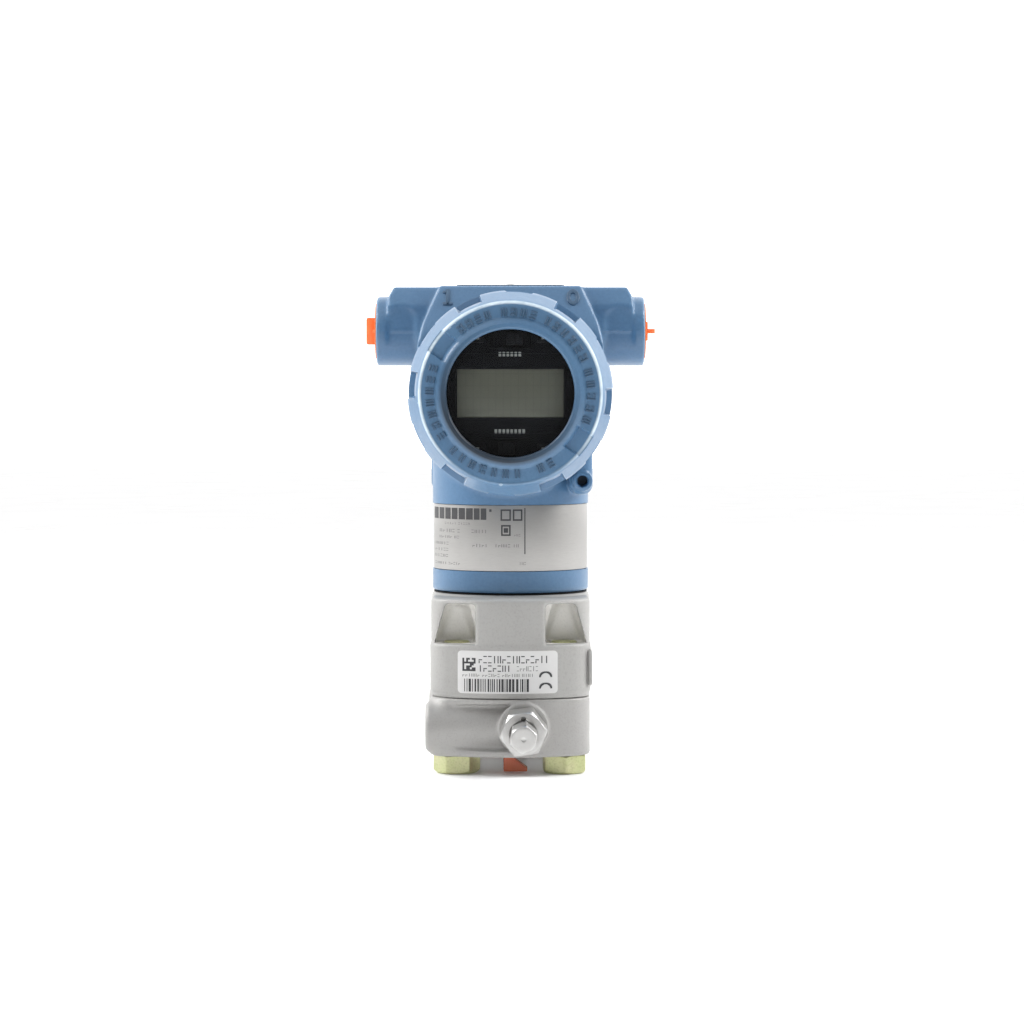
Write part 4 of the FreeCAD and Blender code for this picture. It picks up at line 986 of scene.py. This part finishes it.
def f_module(x, y, z):
    ax_, ay = np.abs(x), np.abs(y)
    base = slab(bow(x, y, 31.0, 55.0, 12.0), z, 29.6, 50.2, 1.1)
    foot = slab(bow(x, y, 30.6, 54.6, 12.0), z, 29.6, 40.0, 0.3)
    base = smax(base, np.where(z < 31.6, bow(x, y, 30.65, 54.65, 12.0), -9.0), 0.25)
    up = slab(bow(x, y, 30.6, 54.85, 12.0), z, 45.0, 67.3, 1.1)
    # bolt pockets: a tapered well that runs out through the face, with one slanted wall
    u = ax_ - 20.65
    w = z - 50.2
    rad = 8.4 - 4.0 * np.clip(w / 14.8, 0, 1)
    well = np.maximum((np.sqrt(u * u + (ay - 27.0) ** 2) - rad) * 0.96, np.maximum(-w, w - 15.2))
    run = smax(-7.3 - u, (u * 0.965 + w * 0.262) - 8.3 * 0.965, 1.6)
    run = smax(run, w - 15.4, 1.8)
    run = np.maximum(run, np.maximum(27.0 - ay, -w))
    well = smax(well, 21.5 - ay, 0.8)
    pocket = smin(well, run, 0.8)
    up = smax(up, -pocket, 1.3)
    d = smin(base, up, 0.5)
    # small fillet ring where the bolt comes through the ledge
    neck = s_cyl(x, y, z, 30.4, 60.0, 68.3, 0.8)
    d = smin(d, np.maximum(neck, 64.5 - z), 1.6)
    core = s_cyl(x, y, z, 21.4, 45.0, 68.0, 0.5)
    d = np.minimum(d, core)
    stem = s_cyl(x, y, z, 21.8, 66.0, 92.0, 0.8)
    d = smin(d, stem, 1.0)
    pad = s_box(x, y, z, 30.0, 31.45, -33.0, -12.0, 33.8, 47.6, 0.5)
    return np.minimum(d, pad)


me = field_mesh("module", f_module, (-32.4, -44.4, 28.6), (32.4, 44.4, 93.2), STEP * 0.9, 0.0, 35)
me = thin_out(me, 100000, 35)
cuts = [on_z(18.0, 62.0, 95.0, n=96), on_z(20.0, 34.0, 63.0, n=96)]
for sx in (-1, 1):
    for sy in (-1, 1):
        cuts.append(on_z(5.65, 25.0, 51.4, sx * 20.65, sy * 27.0, 64))
        cuts.append(lathe([(0, 49.6), (5.6, 49.6), (6.6, 50.7), (0, 50.7)], 64, "+Z", (sx * 20.65, sy * 27.0, 0)))
for sy in (-1, 1):
    cuts.append(on_z(10.7, 27.0, 30.1, 0, sy * 18.0, 64))
me = carve(me, cuts)
put("module_casting", me, "module", MAT["module"], ["sensor_module_body"])

# ---------------------------------------------------------------- process flange


def f_flange(x, y, z):
    ay = np.abs(y)
    d = slab(bow(x, y, 30.7, 55.0, 12.0), z, 7.2, 29.4, 0.7)
    away = smax(36.5 - ay, np.maximum(9.5 - z, z - 27.4), 1.2)
    away = smax(away, x - 2.0, 1.0)
    d = smax(d, -away, 0.9)
    side = s_cyl(ay - 32.2, z - 18.0, x, 9.2, -32.6, 3.0, 1.7)
    d = smin(d, side, 4.2)
    vent = s_cyl(x - 4.9, z - 18.4, ay, 9.8, 20.0, 43.6, 0.6)
    rib = s_box(x, ay, z, 3.9, 10.9, 25.0, 41.1, 7.2, 29.4, 0.7)
    d = smin(d, rib, 1.0)
    return smin(d, vent, 0.9)


me = field_mesh("flange", f_flange, (-33.8, -44.8, 6.2), (33.8, 44.8, 30.6), STEP * 0.9, 0.0, 35)
me = thin_out(me, 78000, 35)
cuts = []
for sx in (-1, 1):
    for sy in (-1, 1):
        cuts.append(on_z(5.9, 0.0, 40.0, sx * 20.65, sy * 27.0, 64))
for sy in (-1, 1):
    cuts.append(on_z(6.2, 0.0, 21.2, 0, sy * 27.0, 64))
    cuts.append(on_y(6.6, *((-50.0, -34.6) if sy < 0 else (34.6, 50.0)), 18.4, 4.9, 64))
    cuts.append(on_z(10.5, 28.6, 34.0, 0, sy * 18.0, 64))
me = carve(me, cuts)
put("flange_casting", me, "module", MAT["flange"], ["coplanar_flange"])

# ---------------------------------------------------------------- bolts, valves, plugs
b = Soup()
for sx in (-1, 1):
    for sy in (-1, 1):
        at = (sx * 20.65, sy * 27.0, 0)
        spin = 4 if sx < 0 else 34
        head = fillet_profile([(0, 0.45, 0), (5.6, 0.45, 0.3), (6.1, 0.0, 0.2), (7.6, 0.0, 0.4), (9.15, 1.15, 0.6), (9.15, 6.6, 0.35),
                               (8.2, 7.0, 0.2), (0, 7.0, 0)], 3)
        head[0], head[-1] = (0.0, 0.45), (0.0, 7.0)
        b.add(*lathe(dense(head, 0.7), 120, "+Z", at, warp=hexed(9.15, 0.5, spin)))
        b.add(*lathe(fillet_profile([(5.2, 6.9), (7.8, 6.9, 0.1), (7.8, 7.2, 0.1), (5.2, 7.2)]), 64, "+Z", at, closed=True))
        b.add(*lathe([(0, 6.0), (5.45, 6.0), (5.45, 31.0), (0, 31.0)], 48, "+Z", at))
        steps = 90
        prof = [(0, 30.5), (4.9, 30.5)] + [(5.5, 30.6 + (49.9 - 30.6) * k / steps) for k in range(steps + 1)] + [(4.6, 50.75), (0, 50.75)]

        def w(rr, hh, th):
            ph = (hh / 1.27 - th / (2 * math.pi)) % 1.0
            return np.where(rr > 5.3, rr - 0.55 * np.clip(np.abs(ph * 2 - 1) * 1.2 - 0.1, 0, 1), rr), hh

        b.add(*lathe(prof, 72, "+Z", at, warp=w))
put("bolts", b.mesh("bolts", 28), "module", MAT["zinc"], ["flange_bolts"])

for nm, sy, ax in (("front", -1, "-Y"), ("rear", 1, "+Y")):
    at = (4.9, 0, 18.4)
    # seat
    prof = fillet_profile([(3.5, 36.0, 0), (6.1, 35.2, 0.2), (6.45, 36.5, 0.2), (6.45, 43.2, 0.1), (7.6, 43.72, 0.1), (8.0, 43.72, 0.3),
                           (9.2, 44.6, 0.4), (9.2, 61.5, 0.5), (7.75, 63.0, 0.35), (5.3, 63.0, 0.3), (4.6, 62.3, 0.2), (3.5, 62.3, 0.3)], 3)
    V, F = lathe(dense(prof + [prof[0]], 0.8)[:-1], 144, ax, at, closed=True,
                 warp=lambda r, h, th: (np.where(h > 43.6, hexed(9.2, 0.35, 8)(r, h, th)[0], r), h))
    me = Soup().add(V, F).mesh("seat", 28)
    a, c = (-64.5, -56.0) if sy < 0 else (56.0, 64.5)
    me = carve(me, [on_y(0.95, a, c, 18.4 + 5.75, 4.9, 32)], sharp=28)
    put("vent_seat_" + nm + "_nut", me, "module", MAT["bright"], ["vent_seat_" + nm])
    # stem
    prof = fillet_profile([(0, 65.0, 0), (4.4, 65.0, 0.3), (5.5, 65.9, 0.4), (5.5, 80.2, 0.5), (4.6, 81.45, 0.4), (0.9, 81.45, 0.1),
                           (0.6, 81.3, 0.1), (0, 81.25, 0)], 3)
    prof[0], prof[-1] = (0.0, 65.0), (0.0, 81.25)
    st = Soup()
    st.add(*lathe(dense(prof, 0.7), 120, ax, at, warp=hexed(5.5, 0.3, 20)))
    st.add(*thread(3.2, 0.45, 0.9, 46.0, 64.4, 0.6, 48, ax, at, 7))
    st.add(*lathe([(0, 44.85), (1.6, 44.85), (2.4, 45.6), (2.4, 66.0), (0, 66.0)], 48, ax, at))
    put("vent_stem_" + nm + "_screw", st.mesh("stem", 30), nm + "_stem", MAT["bright"], ["vent_stem_" + nm])
    put("vent_ball_" + nm + "_bead", Soup().add(*lathe([(2.2 * math.sin(t), -2.2 * math.cos(t)) for t in np.linspace(0, math.pi, 17)],
        32, ax, (4.9, sy * 42.3, 18.4))).mesh("ball"), nm + "_ball", MAT["satin"], ["vent_ball_" + nm])
    # plug in the process port
    out = fillet_profile([(-2.6, 0.55, 0.25), (6.4, 0.55, 0.35), (6.55, 1.7, 0.35), (-0.5, 6.85, 0.3), (-2.6, 6.85, 0.2)], 3)
    V, F = prism(out, -3.4, 3.4, 0.28, 2)
    V = np.stack([V[:, 0], V[:, 2] + sy * 27.0, V[:, 1]], 1)
    pg = Soup().add(V, F)
    for k in range(4):
        V, F = rbox(-2.72, -2.45, sy * 27.0 - 2.9, sy * 27.0 + 2.9, 1.3 + 1.25 * k, 1.85 + 1.25 * k, 0.1, 1)
        pg.add(V, F)
    pg.add(*lathe(fillet_profile([(0, 6.5), (5.9, 6.5, 0.15), (5.9, 7.1, 0.15), (5.8, 14.4, 0.6), (0, 14.4)]), 64, "+Z", (0, sy * 27.0, 0)))
    for z in (8.6, 10.4, 12.2):
        pg.add(*lathe(fillet_profile([(5.3, z), (6.08, z + 0.1, 0.1), (6.08, z + 0.5, 0.1), (5.3, z + 0.9)]), 64, "+Z", (0, sy * 27.0, 0), closed=True))
    put("port_plug_" + nm, pg.mesh("plug", 30), "module", MAT["red"], ["process_plug_" + nm])

for sx, nm, ax in ((-1, "left", "-X"), (1, "right", "+X")):
    s = Soup()
    at = (0, 0, 170.3)
    prof = fillet_profile([(0, 41.5), (9.2, 41.5, 0.5), (10.05, 42.6, 0.4), (10.05, 52.33, 0), (10.8, 52.33, 0.1), (10.8, 52.82, 0.2),
                           (9.4, 52.85, 0.1), (9.1, 52.65, 0.1), (0, 52.65)], 3)
    prof[0], prof[-1] = (0.0, 41.5), (0.0, 52.65)

    def w(r, h, th):
        ph = (h / 1.8 - th / (2 * math.pi)) % 1.0
        t = np.clip(np.abs(ph * 2 - 1) * 1.2 - 0.1, 0, 1) * ((r > 9.7) & (h < 51.8) & (h > 42.5))
        return r - 0.7 * t, h

    s.add(*lathe(dense(prof, 0.35), 120, ax, at, warp=w))
    lo, hi = (52.4, 56.53)
    bw, bt = 5.25, 0.8
    out = fillet_profile([(lo, -bw), (hi - 0.2, -bw, 0.7), (hi, -bw + 0.9, 0.5), (hi, bw - 0.9, 0.5), (hi - 0.2, bw, 0.7), (lo, bw)], 3)
    V, F = prism(out, -bt, bt, 0.22, 2)
    if sx < 0:
        V = np.stack([-V[:, 0], V[:, 2], V[:, 1] + 170.3], 1)
    else:
        V = np.stack([V[:, 0], V[:, 1], V[:, 2] + 170.3], 1)
    s.add(V, F)
    # two small ribs foot the blade
    for q in (-1, 1):
        if sx < 0:
            V, F = rbox(-53.9, -52.5, q * 2.2 - 1.5, q * 2.2 + 1.5, 169.7, 170.9, 0.2, 1)
        else:
            V, F = rbox(52.5, 53.9, -0.6, 0.6, 170.3 + q * 2.2 - 1.5, 170.3 + q * 2.2 + 1.5, 0.2, 1)
        s.add(V, F)
    put("entry_plug_" + nm, s.mesh("plug", 30), "housing", MAT["orange"], ["conduit_plug_" + nm])

# ---------------------------------------------------------------- nameplate band and its print
bd = Soup()
bd.add(*lathe(fillet_profile([(29.6, 77.55, 0.1), (30.08, 77.55, 0.16), (30.08, 102.95, 0.16), (29.6, 102.95, 0.1)], 3), 240, "+Z", closed=True))
# overlapped joint at the back with two rivets
V, F = arc_patch(30.04, 84.0, 96.0, 77.7, 102.8, 0.3, 6)
bd.add(V, F)
for z in (82.5, 98.0):
    bd.add(*lathe([(0, 29.8), (1.3, 29.8), (1.25, 30.45), (0.8, 30.62), (0, 30.66)], 20, "+Y", (0, 0, z)))
put("band_ring", bd.mesh("band", 30), "housing", MAT["band"], ["nameplate_band"])


def on_band(s, x0, x1, z0, z1, thick=0.03, R=30.08):
    """A printed patch between the given X positions, seen from the front."""
    f = lambda v: -90 + math.degrees(math.asin(max(-0.9999, min(0.9999, v / R))))
    a0, a1 = f(x0), f(x1)
    V, F = arc_patch(R - 0.02, a0, a1, z0, z1, thick + 0.02, max(1, int(abs(a1 - a0) / 2.5)))
    s.add(V, F)


rnd = random.Random(21)


def strokes(s, put_patch, x0, x1, z0, z1, pitch, rnd, fill=0.72, gap_every=5):
    """A row of small abstract strokes that stands for a printed line."""
    x = x0
    k = 0
    h = z1 - z0
    while x + pitch * fill <= x1 + 1e-6:
        kind = rnd.choice((0, 1, 2, 3))
        w = pitch * fill
        t = min(w * 0.3, h * 0.24)
        if kind == 0:
            put_patch(s, x, x + t, z0, z1)
            put_patch(s, x + w - t, x + w, z0, z1)
        elif kind == 1:
            put_patch(s, x, x + w, z1 - t, z1)
            put_patch(s, x, x + w, z0, z0 + t)
        elif kind == 2:
            put_patch(s, x, x + w, z0 + h * 0.4, z0 + h * 0.4 + t)
            put_patch(s, x, x + t, z0, z0 + h * 0.35)
        else:
            put_patch(s, x + (w - t) / 2, x + (w + t) / 2, z0, z1)
        x += pitch
        k += 1
        if k % gap_every == 0:
            x += pitch * 0.6


pr = Soup()
x = -29.6
for wd in (1.6, 1.9, 2.1, 2.3, 2.5, 2.6, 2.2, 2.2):
    on_band(pr, x, x + wd, 97.3, 101.7)
    x += wd + 0.42
on_band(pr, x + 0.7, x + 1.6, 100.4, 101.4)
# two plain framed squares
for (a, c, e, g) in ((-3.8, 0.2, 97.0, 101.4), (0.9, 4.6, 97.0, 101.4), (-3.6, 0.1, 91.2, 95.4)):
    t = 0.62
    on_band(pr, a, c, g - t, g)
    on_band(pr, a, c, e, e + t)
    on_band(pr, a, a + t, e + t, g - t)
    on_band(pr, c - t, c, e + t, g - t)
on_band(pr, -2.6, -0.9, 92.4, 94.2)
on_band(pr, 5.35, 5.75, 84.2, 101.9)
put("band_print", pr.mesh("print"), "housing", MAT["print"])
pr = Soup()
for z0, hh, x0, x1, pt in ((95.3, 0.8, -25.5, -14.6, 0.95), (92.2, 1.3, -27.5, -19.0, 1.25), (92.2, 1.3, -15.0, -9.0, 1.25), (89.9, 1.0, -27.6, -19.2, 1.05),
                           (87.3, 1.1, -29.2, -22.5, 1.1), (84.9, 1.1, -29.3, -23.5, 1.1), (82.5, 1.1, -29.4, -24.0, 1.1), (79.7, 0.9, -29.3, -18.2, 0.95),
                           (86.8, 1.2, -14.6, -8.2, 1.2), (86.8, 1.2, -6.0, 3.2, 1.25), (80.0, 1.1, 3.4, 6.9, 0.95), (91.0, 0.9, 1.4, 4.0, 0.9)):
    strokes(pr, on_band, x0, x1, z0, z0 + hh, pt, rnd)
put("band_print_small", pr.mesh("print"), "housing", MAT["print_soft"])

# ---------------------------------------------------------------- module label
LR = 55.05


def on_label(s, x0, x1, z0, z1, thick=0.03, R=LR + 0.2):
    f = lambda v: -90 + math.degrees(math.asin(v / R))
    V, F = arc_patch(R - 0.02, f(x0), f(x1), z0, z1, thick + 0.02, max(1, int((x1 - x0) / 2.0)), (0, 12.0))
    s.add(V, F)


def rounded_label(x0, x1, z0, z1, r, R0, R1, n=80):
    xs = [x0 + (x1 - x0) * k / n for k in range(n + 1)]
    xs = sorted(set(xs + [x0 + r * t for t in (0.04, 0.15, 0.3, 0.6)] + [x1 - r * t for t in (0.04, 0.15, 0.3, 0.6)]))
    V, F = [], []
    for x in xs:
        d = min(x - x0, x1 - x)
        c = 0.0 if d >= r else r - math.sqrt(max(0.0, r * r - (r - d) ** 2))
        for R in (R0, R1):
            a = math.asin(x / R1)
            for z in (z0 + c, z1 - c):
                V.append((R * math.sin(a), 12.0 - R * math.cos(a), z))
    for k in range(len(xs) - 1):
        p, q = 4 * k, 4 * k + 4
        F += [(p, p + 1, q + 1, q), (p + 2, q + 2, q + 3, p + 3), (p, q, q + 2, p + 2), (p + 1, p + 3, q + 3, q + 1)]
    e = 4 * (len(xs) - 1)
    F += [(0, 2, 3, 1), (e, e + 1, e + 3, e + 2)]
    return np.array(V), F


lb = Soup().add(*rounded_label(-20.1, 18.0, 31.7, 48.0, 1.5, LR, LR + 0.2))
put("module_label_film", lb.mesh("label"), "module", MAT["label"], ["module_label"])
pr = Soup()
# a square patch of seeded blocks
cell = 0.72
for i in range(7):
    for j in range(7):
        if i == 0 or j == 0 or rnd.random() < 0.55:
            on_label(pr, -18.3 + i * cell, -18.3 + (i + 1) * cell, 40.2 + j * cell, 40.2 + (j + 1) * cell)
strokes(pr, on_label, -12.1, 16.1, 43.3, 46.1, 1.80, rnd, 0.74, 50)
strokes(pr, on_label, -12.1, 0.8, 40.1, 42.5, 1.80, rnd, 0.74, 50)
# plain upright bars
x = -17.6
while x < 7.0:
    wd = rnd.choice((0.3, 0.3, 0.42, 0.62, 0.9))
    on_label(pr, x, x + wd, 32.4, 37.3)
    x += wd + rnd.choice((0.34, 0.45, 0.62))
# two half rings
for zc in (34.3, 38.6):
    n = 12
    for k in range(n):
        a0, a1 = math.pi * k / n, math.pi * (k + 1) / n
        pa = [(13.4 + rr * math.cos(a), zc - 0.7 + rr * 0.9 * math.sin(a)) for rr in (1.85, 2.5) for a in (a0, a1)]
        xs = [p[0] for p in pa]
        zs = [p[1] for p in pa]
        on_label(pr, min(xs), max(xs), min(zs), max(zs), 0.03 + 0.002 * (k % 3))
put("module_label_print", pr.mesh("print"), "module", MAT["print"])
pr = Soup()
strokes(pr, on_label, 2.4, 11.0, 40.3, 42.2, 1.2, rnd, 0.7, 50)
strokes(pr, on_label, -18.3, 9.6, 38.1, 39.3, 1.15, rnd, 0.7, 6)
put("module_label_small", pr.mesh("print"), "module", MAT["print_soft"])

# ---------------------------------------------------------------- meter
mt = lathe(fillet_profile([(0, 41.0), (26.4, 41.0, 0.6), (28.4, 43.0, 0.6), (28.4, 61.3, 0.5), (27.4, 62.3, 0.3), (0, 62.3)], 3), 160, "-Y", (0, 0, AZ))
me = Soup().add(*mt).mesh("meter", 30)
me = carve(me, [rbox(-19.95, 19.95, -64.0, -60.5, AZ - 9.1, AZ + 9.1, 0), rbox(-8.0, 8.0, -64.0, -59.3, AZ + 17.0, AZ + 24.0, 0),
                rbox(-8.0, 8.0, -64.0, -59.3, AZ - 24.0, AZ - 17.0, 0)], sharp=30)
put("meter_body", me, "housing", MAT["black"], ["lcd_meter"])
s = Soup()
# stepped frame round the display
for a, c, e, g in ((-20.35, 20.35, AZ + 9.0, AZ + 9.75), (-20.35, 20.35, AZ - 9.75, AZ - 9.0), (-20.5, -19.85, AZ - 9.75, AZ + 9.75), (19.85, 20.5, AZ - 9.75, AZ + 9.75)):
    s.add(*rbox(a, c, -62.52, -61.2, e, g, 0.12, 1))
# clips near the jumper seats, shallow ribs and shelf lines
for q in (-1, 1):
    for sx in (-1, 1):
        s.add(*rbox(sx * 12.6 - 2.6, sx * 12.6 + 2.6, -62.55, -61.9, AZ + q * 20.0 - 1.2, AZ + q * 20.0 + 1.2, 0.25, 2))
    s.add(*rbox(-21.0, 21.0, -62.42, -61.9, AZ + q * 15.0 - 0.15 - 0.2 * q, AZ + q * 15.0 + 0.15 - 0.2 * q, 0.08, 1))
    s.add(*rbox(-7.8, 7.8, -62.5, -61.9, AZ + q * 16.6 - 0.2, AZ + q * 16.6 + 0.2, 0.08, 1))
put("meter_frame", s.mesh("frame", 30), "housing", MAT["black2"])
s = Soup()
for zc, w in ((14.6, 4.4), (-14.2, 5.9)):
    x = -w
    while x < w - 0.5:
        hgt = 0.85
        s.add(*rbox(x, x + 1.0, -62.36, -62.2, AZ + zc - hgt, AZ + zc + hgt, 0.04, 1))
        x += 1.48
for q in (-1, 1):
    for sx in (-1, 1):
        s.add(*rbox(sx * 12.4 - 0.8, sx * 12.4 + 0.8, -62.64, -62.5, AZ + q * 20.4 - 0.28, AZ + q * 20.4 + 0.28, 0.03, 1))
put("meter_print", s.mesh("print"), "housing", MAT["grey_print"])
V, F = rbox(-19.85, 19.85, -62.1, -60.6, AZ - 9.0, AZ + 9.0, 0.12, 2)
put("meter_display", Soup().add(V, F).mesh("display", 30), "housing", MAT["display"], ["lcd_glass"])
s = Soup()
for x0, x1, z0, z1 in ((-1.5, 4.5, AZ + 18.0, AZ + 23.0), (-4.5, 1.5, AZ - 23.0, AZ - 18.0)):
    s.add(*rbox(x0, x1, -61.7, -59.4, z0, z1, 0.35, 2))
    for k in range(3):
        s.add(*rbox(x0 + 1.0 + 1.6 * k, x0 + 1.7 + 1.6 * k, -61.85, -61.6, z0 + 0.8, z1 - 0.8, 0.08, 1))
put("jumper_blocks", s.mesh("jumpers", 30), "housing", MAT["black2"], ["meter_jumpers"])

# ---------------------------------------------------------------- top plate, screw, buttons
out = fillet_profile([(-21, -10, 2.0), (21, -10, 2.0), (21, 10, 2.0), (-21, 10, 2.0)], 6)
V, F = prism(out, 187.42, 188.18, 0.16, 2)
me = carve(Soup().add(V, F).mesh("plate", 30), [on_z(1.8, 180, 192, n=48)], sharp=30)
put("top_plate", me, "label_plate", MAT["plate"], ["top_label_plate"])
s = Soup()
for sx in (-1, 1):
    s.add(*prism(fillet_profile([(sx * 15 - 3.4, -3.4, 1), (sx * 15 + 3.4, -3.4, 1), (sx * 15 + 3.4, 3.4, 1), (sx * 15 - 3.4, 3.4, 1)], 4), 188.17, 188.2, 0))
for y in (-7.6, 7.3):
    s.add(*rbox(-17, 17, y, y + 0.35, 188.17, 188.2, 0))
put("top_plate_print", s.mesh("print"), "label_plate", MAT["grey_print"])
prof = fillet_profile([(0, 181.4), (1.5, 181.4), (1.5, 188.3), (2.9, 188.3, 0.08), (2.9, 188.52, 0.1), (2.4, 188.74, 0.2), (0, 188.75)], 3)
prof[0], prof[-1] = (0.0, 181.4), (0.0, 188.75)
me = carve(Soup().add(*lathe(prof, 64)).mesh("screw", 30), [rbox(-4, 4, -0.4, 0.4, 188.5, 190, 0)], sharp=30)
put("top_screw", me, "housing", MAT["satin"], ["label_screw"])
for sx, nm in ((-1, "span"), (1, "zero")):
    prof = fillet_profile([(0, 181.6), (1.6, 181.6, 0.2), (1.6, 183.0), (3.0, 183.0, 0.15), (3.0, 186.8, 0.3), (2.6, 187.2, 0.2), (0, 187.2)], 3)
    prof[0], prof[-1] = (0.0, 181.6), (0.0, 187.2)
    me = carve(Soup().add(*lathe(prof, 64, "+Z", (sx * 15, 0, 0))).mesh("button", 30),
               [rbox(sx * 15 - 4, sx * 15 + 4, -0.5, 0.5, 186.4, 190, 0)], sharp=30)
    put(nm + "_cap", me, nm, MAT["blue"], [nm + "_button"])
    ring = [(1.87, 0.02), (2.58, 0.02), (2.58, 0.7), (2.3, 1.1), (2.3, 3.4), (2.58, 3.8), (2.58, 4.48), (1.87, 4.48)]
    me = Soup().add(*lathe([(r, 178.4 + z) for r, z in ring], 48, "+Z", (sx * 15, 0, 0), closed=True)).mesh("sleeve", 30)
    sleeve = put(nm + "_sleeve", me, "housing", MAT["rubber"], [nm + "_spring"])
    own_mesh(sleeve)

# ---------------------------------------------------------------- rear terminals
s = Soup()
for x in (-14, 0, 14):
    prof = fillet_profile([(0, 6.1), (3.6, 6.1, 0.2), (3.6, 7.85, 0.5), (2.8, 8.65, 0.4), (0, 8.65)], 3)
    prof[0], prof[-1] = (0.0, 6.1), (0.0, 8.65)
    me = carve(Soup().add(*lathe(prof, 48, "+Y", (x, 0, AZ + 3.5))).mesh("ts", 30), [rbox(x - 4, x + 4, 7.8, 9.5, AZ + 3.1, AZ + 3.9, 0)], sharp=30)
    put("terminal_screw_%d" % (x + 14), me, "housing", MAT["satin"], ["terminal_screws"] if x == -14 else [])

# ---------------------------------------------------------------- finishes on what stays as CAD
KEEP = {"neck_seal": "rubber", "rotation_set_screw": "dark_steel", "electronics_board": "board", "board_standoffs": "brass",
        "board_screws": "satin", "shield_can": "satin", "ribbon_cable": "ribbon", "terminal_block": "black",
        "inner_ground_screw": "green", "window_gasket": "rubber",
        "window_glass": "window", "glass_retainer": "dark_steel", "front_oring": "rubber", "rear_oring": "rubber",
        "sensor_capsule": "satin", "isolating_diaphragms": "satin", "fill_tubes": "satin", "process_seal_rings": "white_seal",
        "module_board": "board"}
for nm, mat in KEEP.items():
    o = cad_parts[nm]
    for k in range(len(o.material_slots)):
        o.material_slots[k].material = MAT[mat]
    if not o.material_slots:
        raise RuntimeError("no slot on " + nm)

# ---------------------------------------------------------------- camera
cam = bpy.data.cameras.new("camera")
cam.lens = 107.3
cam.sensor_width = 36.0
cam.clip_start = 0.05
cam.clip_end = 30.0
cam_o = bpy.data.objects.new("camera", cam)
scene.collection.objects.link(cam_o)
cam_o.location = (0.0006, -1.200, 0.1433)
cam_o.rotation_euler = (math.radians(87.90), 0, 0)
scene.camera = cam_o

# ---------------------------------------------------------------- floor and light


def floor_material():
    m = N("floor_white")
    m.link(m.mix(m.noise(3, 2), (0.93, 0.93, 0.93), (0.955, 0.955, 0.955)), m.b.inputs["Base Color"])
    m.link(m.scale_to(m.noise(8, 2), 0.22, 0.30), m.b.inputs["Roughness"])
    m.set(spec=0.35)
    m.b.inputs["Emission Color"].default_value = (1, 1, 1, 1)
    m.b.inputs["Emission Strength"].default_value = 0.05
    m.b.inputs["IOR"].default_value = 1.025
    return m.m


bm = bmesh.new()
bmesh.ops.create_grid(bm, x_segments=2, y_segments=2, size=4.0)
fm = bpy.data.meshes.new("floor")
bm.to_mesh(fm)
bm.free()
floor = bpy.data.objects.new("floor", fm)
floor.location = (0, 1.2, -0.0002)
scene.collection.objects.link(floor)
fm.materials.append(floor_material())

world = bpy.data.worlds.new("world")
scene.world = world
world.use_nodes = True
wt = world.node_tree
bg = wt.nodes["Background"]
bg.inputs["Color"].default_value = (1, 1, 1, 1)
# a white cyclorama behind, a dimmer room in front
wco = wt.nodes.new("ShaderNodeTexCoord")
wsp = wt.nodes.new("ShaderNodeSeparateXYZ")
wmr = wt.nodes.new("ShaderNodeMapRange")
wmr.interpolation_type = "SMOOTHSTEP"
wmr.inputs["From Min"].default_value = -0.45
wmr.inputs["From Max"].default_value = 0.9
wmr.inputs["To Min"].default_value = 0.30
wmr.inputs["To Max"].default_value = 1.8
wt.links.new(wco.outputs["Generated"], wsp.inputs[0])
wt.links.new(wsp.outputs["Y"], wmr.inputs["Value"])
wt.links.new(wmr.outputs["Result"], bg.inputs["Strength"])


def area(name, loc, look, sx, sy, power, color=(1, 1, 1)):
    l = bpy.data.lights.new(name, "AREA")
    l.shape = "RECTANGLE"
    l.size, l.size_y = sx, sy
    l.energy = power
    l.color = color
    o = bpy.data.objects.new(name, l)
    o.location = loc
    d = Vector(look) - Vector(loc)
    o.rotation_euler = d.to_track_quat("-Z", "Y").to_euler()
    scene.collection.objects.link(o)
    return o


area("key", (-0.45, -0.75, 0.95), (0, 0, 0.12), 0.7, 0.7, 1.5)
area("top", (0.0, -0.30, 1.15), (0, 0, 0.16), 0.9, 0.5, 1.5)
area("fill_left", (-0.72, 0.02, 0.66), (0, 0, 0.14), 0.55, 0.55, 7.6)
area("fill_right", (0.72, 0.02, 0.66), (0, 0, 0.14), 0.55, 0.55, 7.6)

scene.view_settings.view_transform = "Standard"
scene.view_settings.look = "None"
scene.view_settings.exposure = 0.0
scene.view_settings.gamma = 1.0
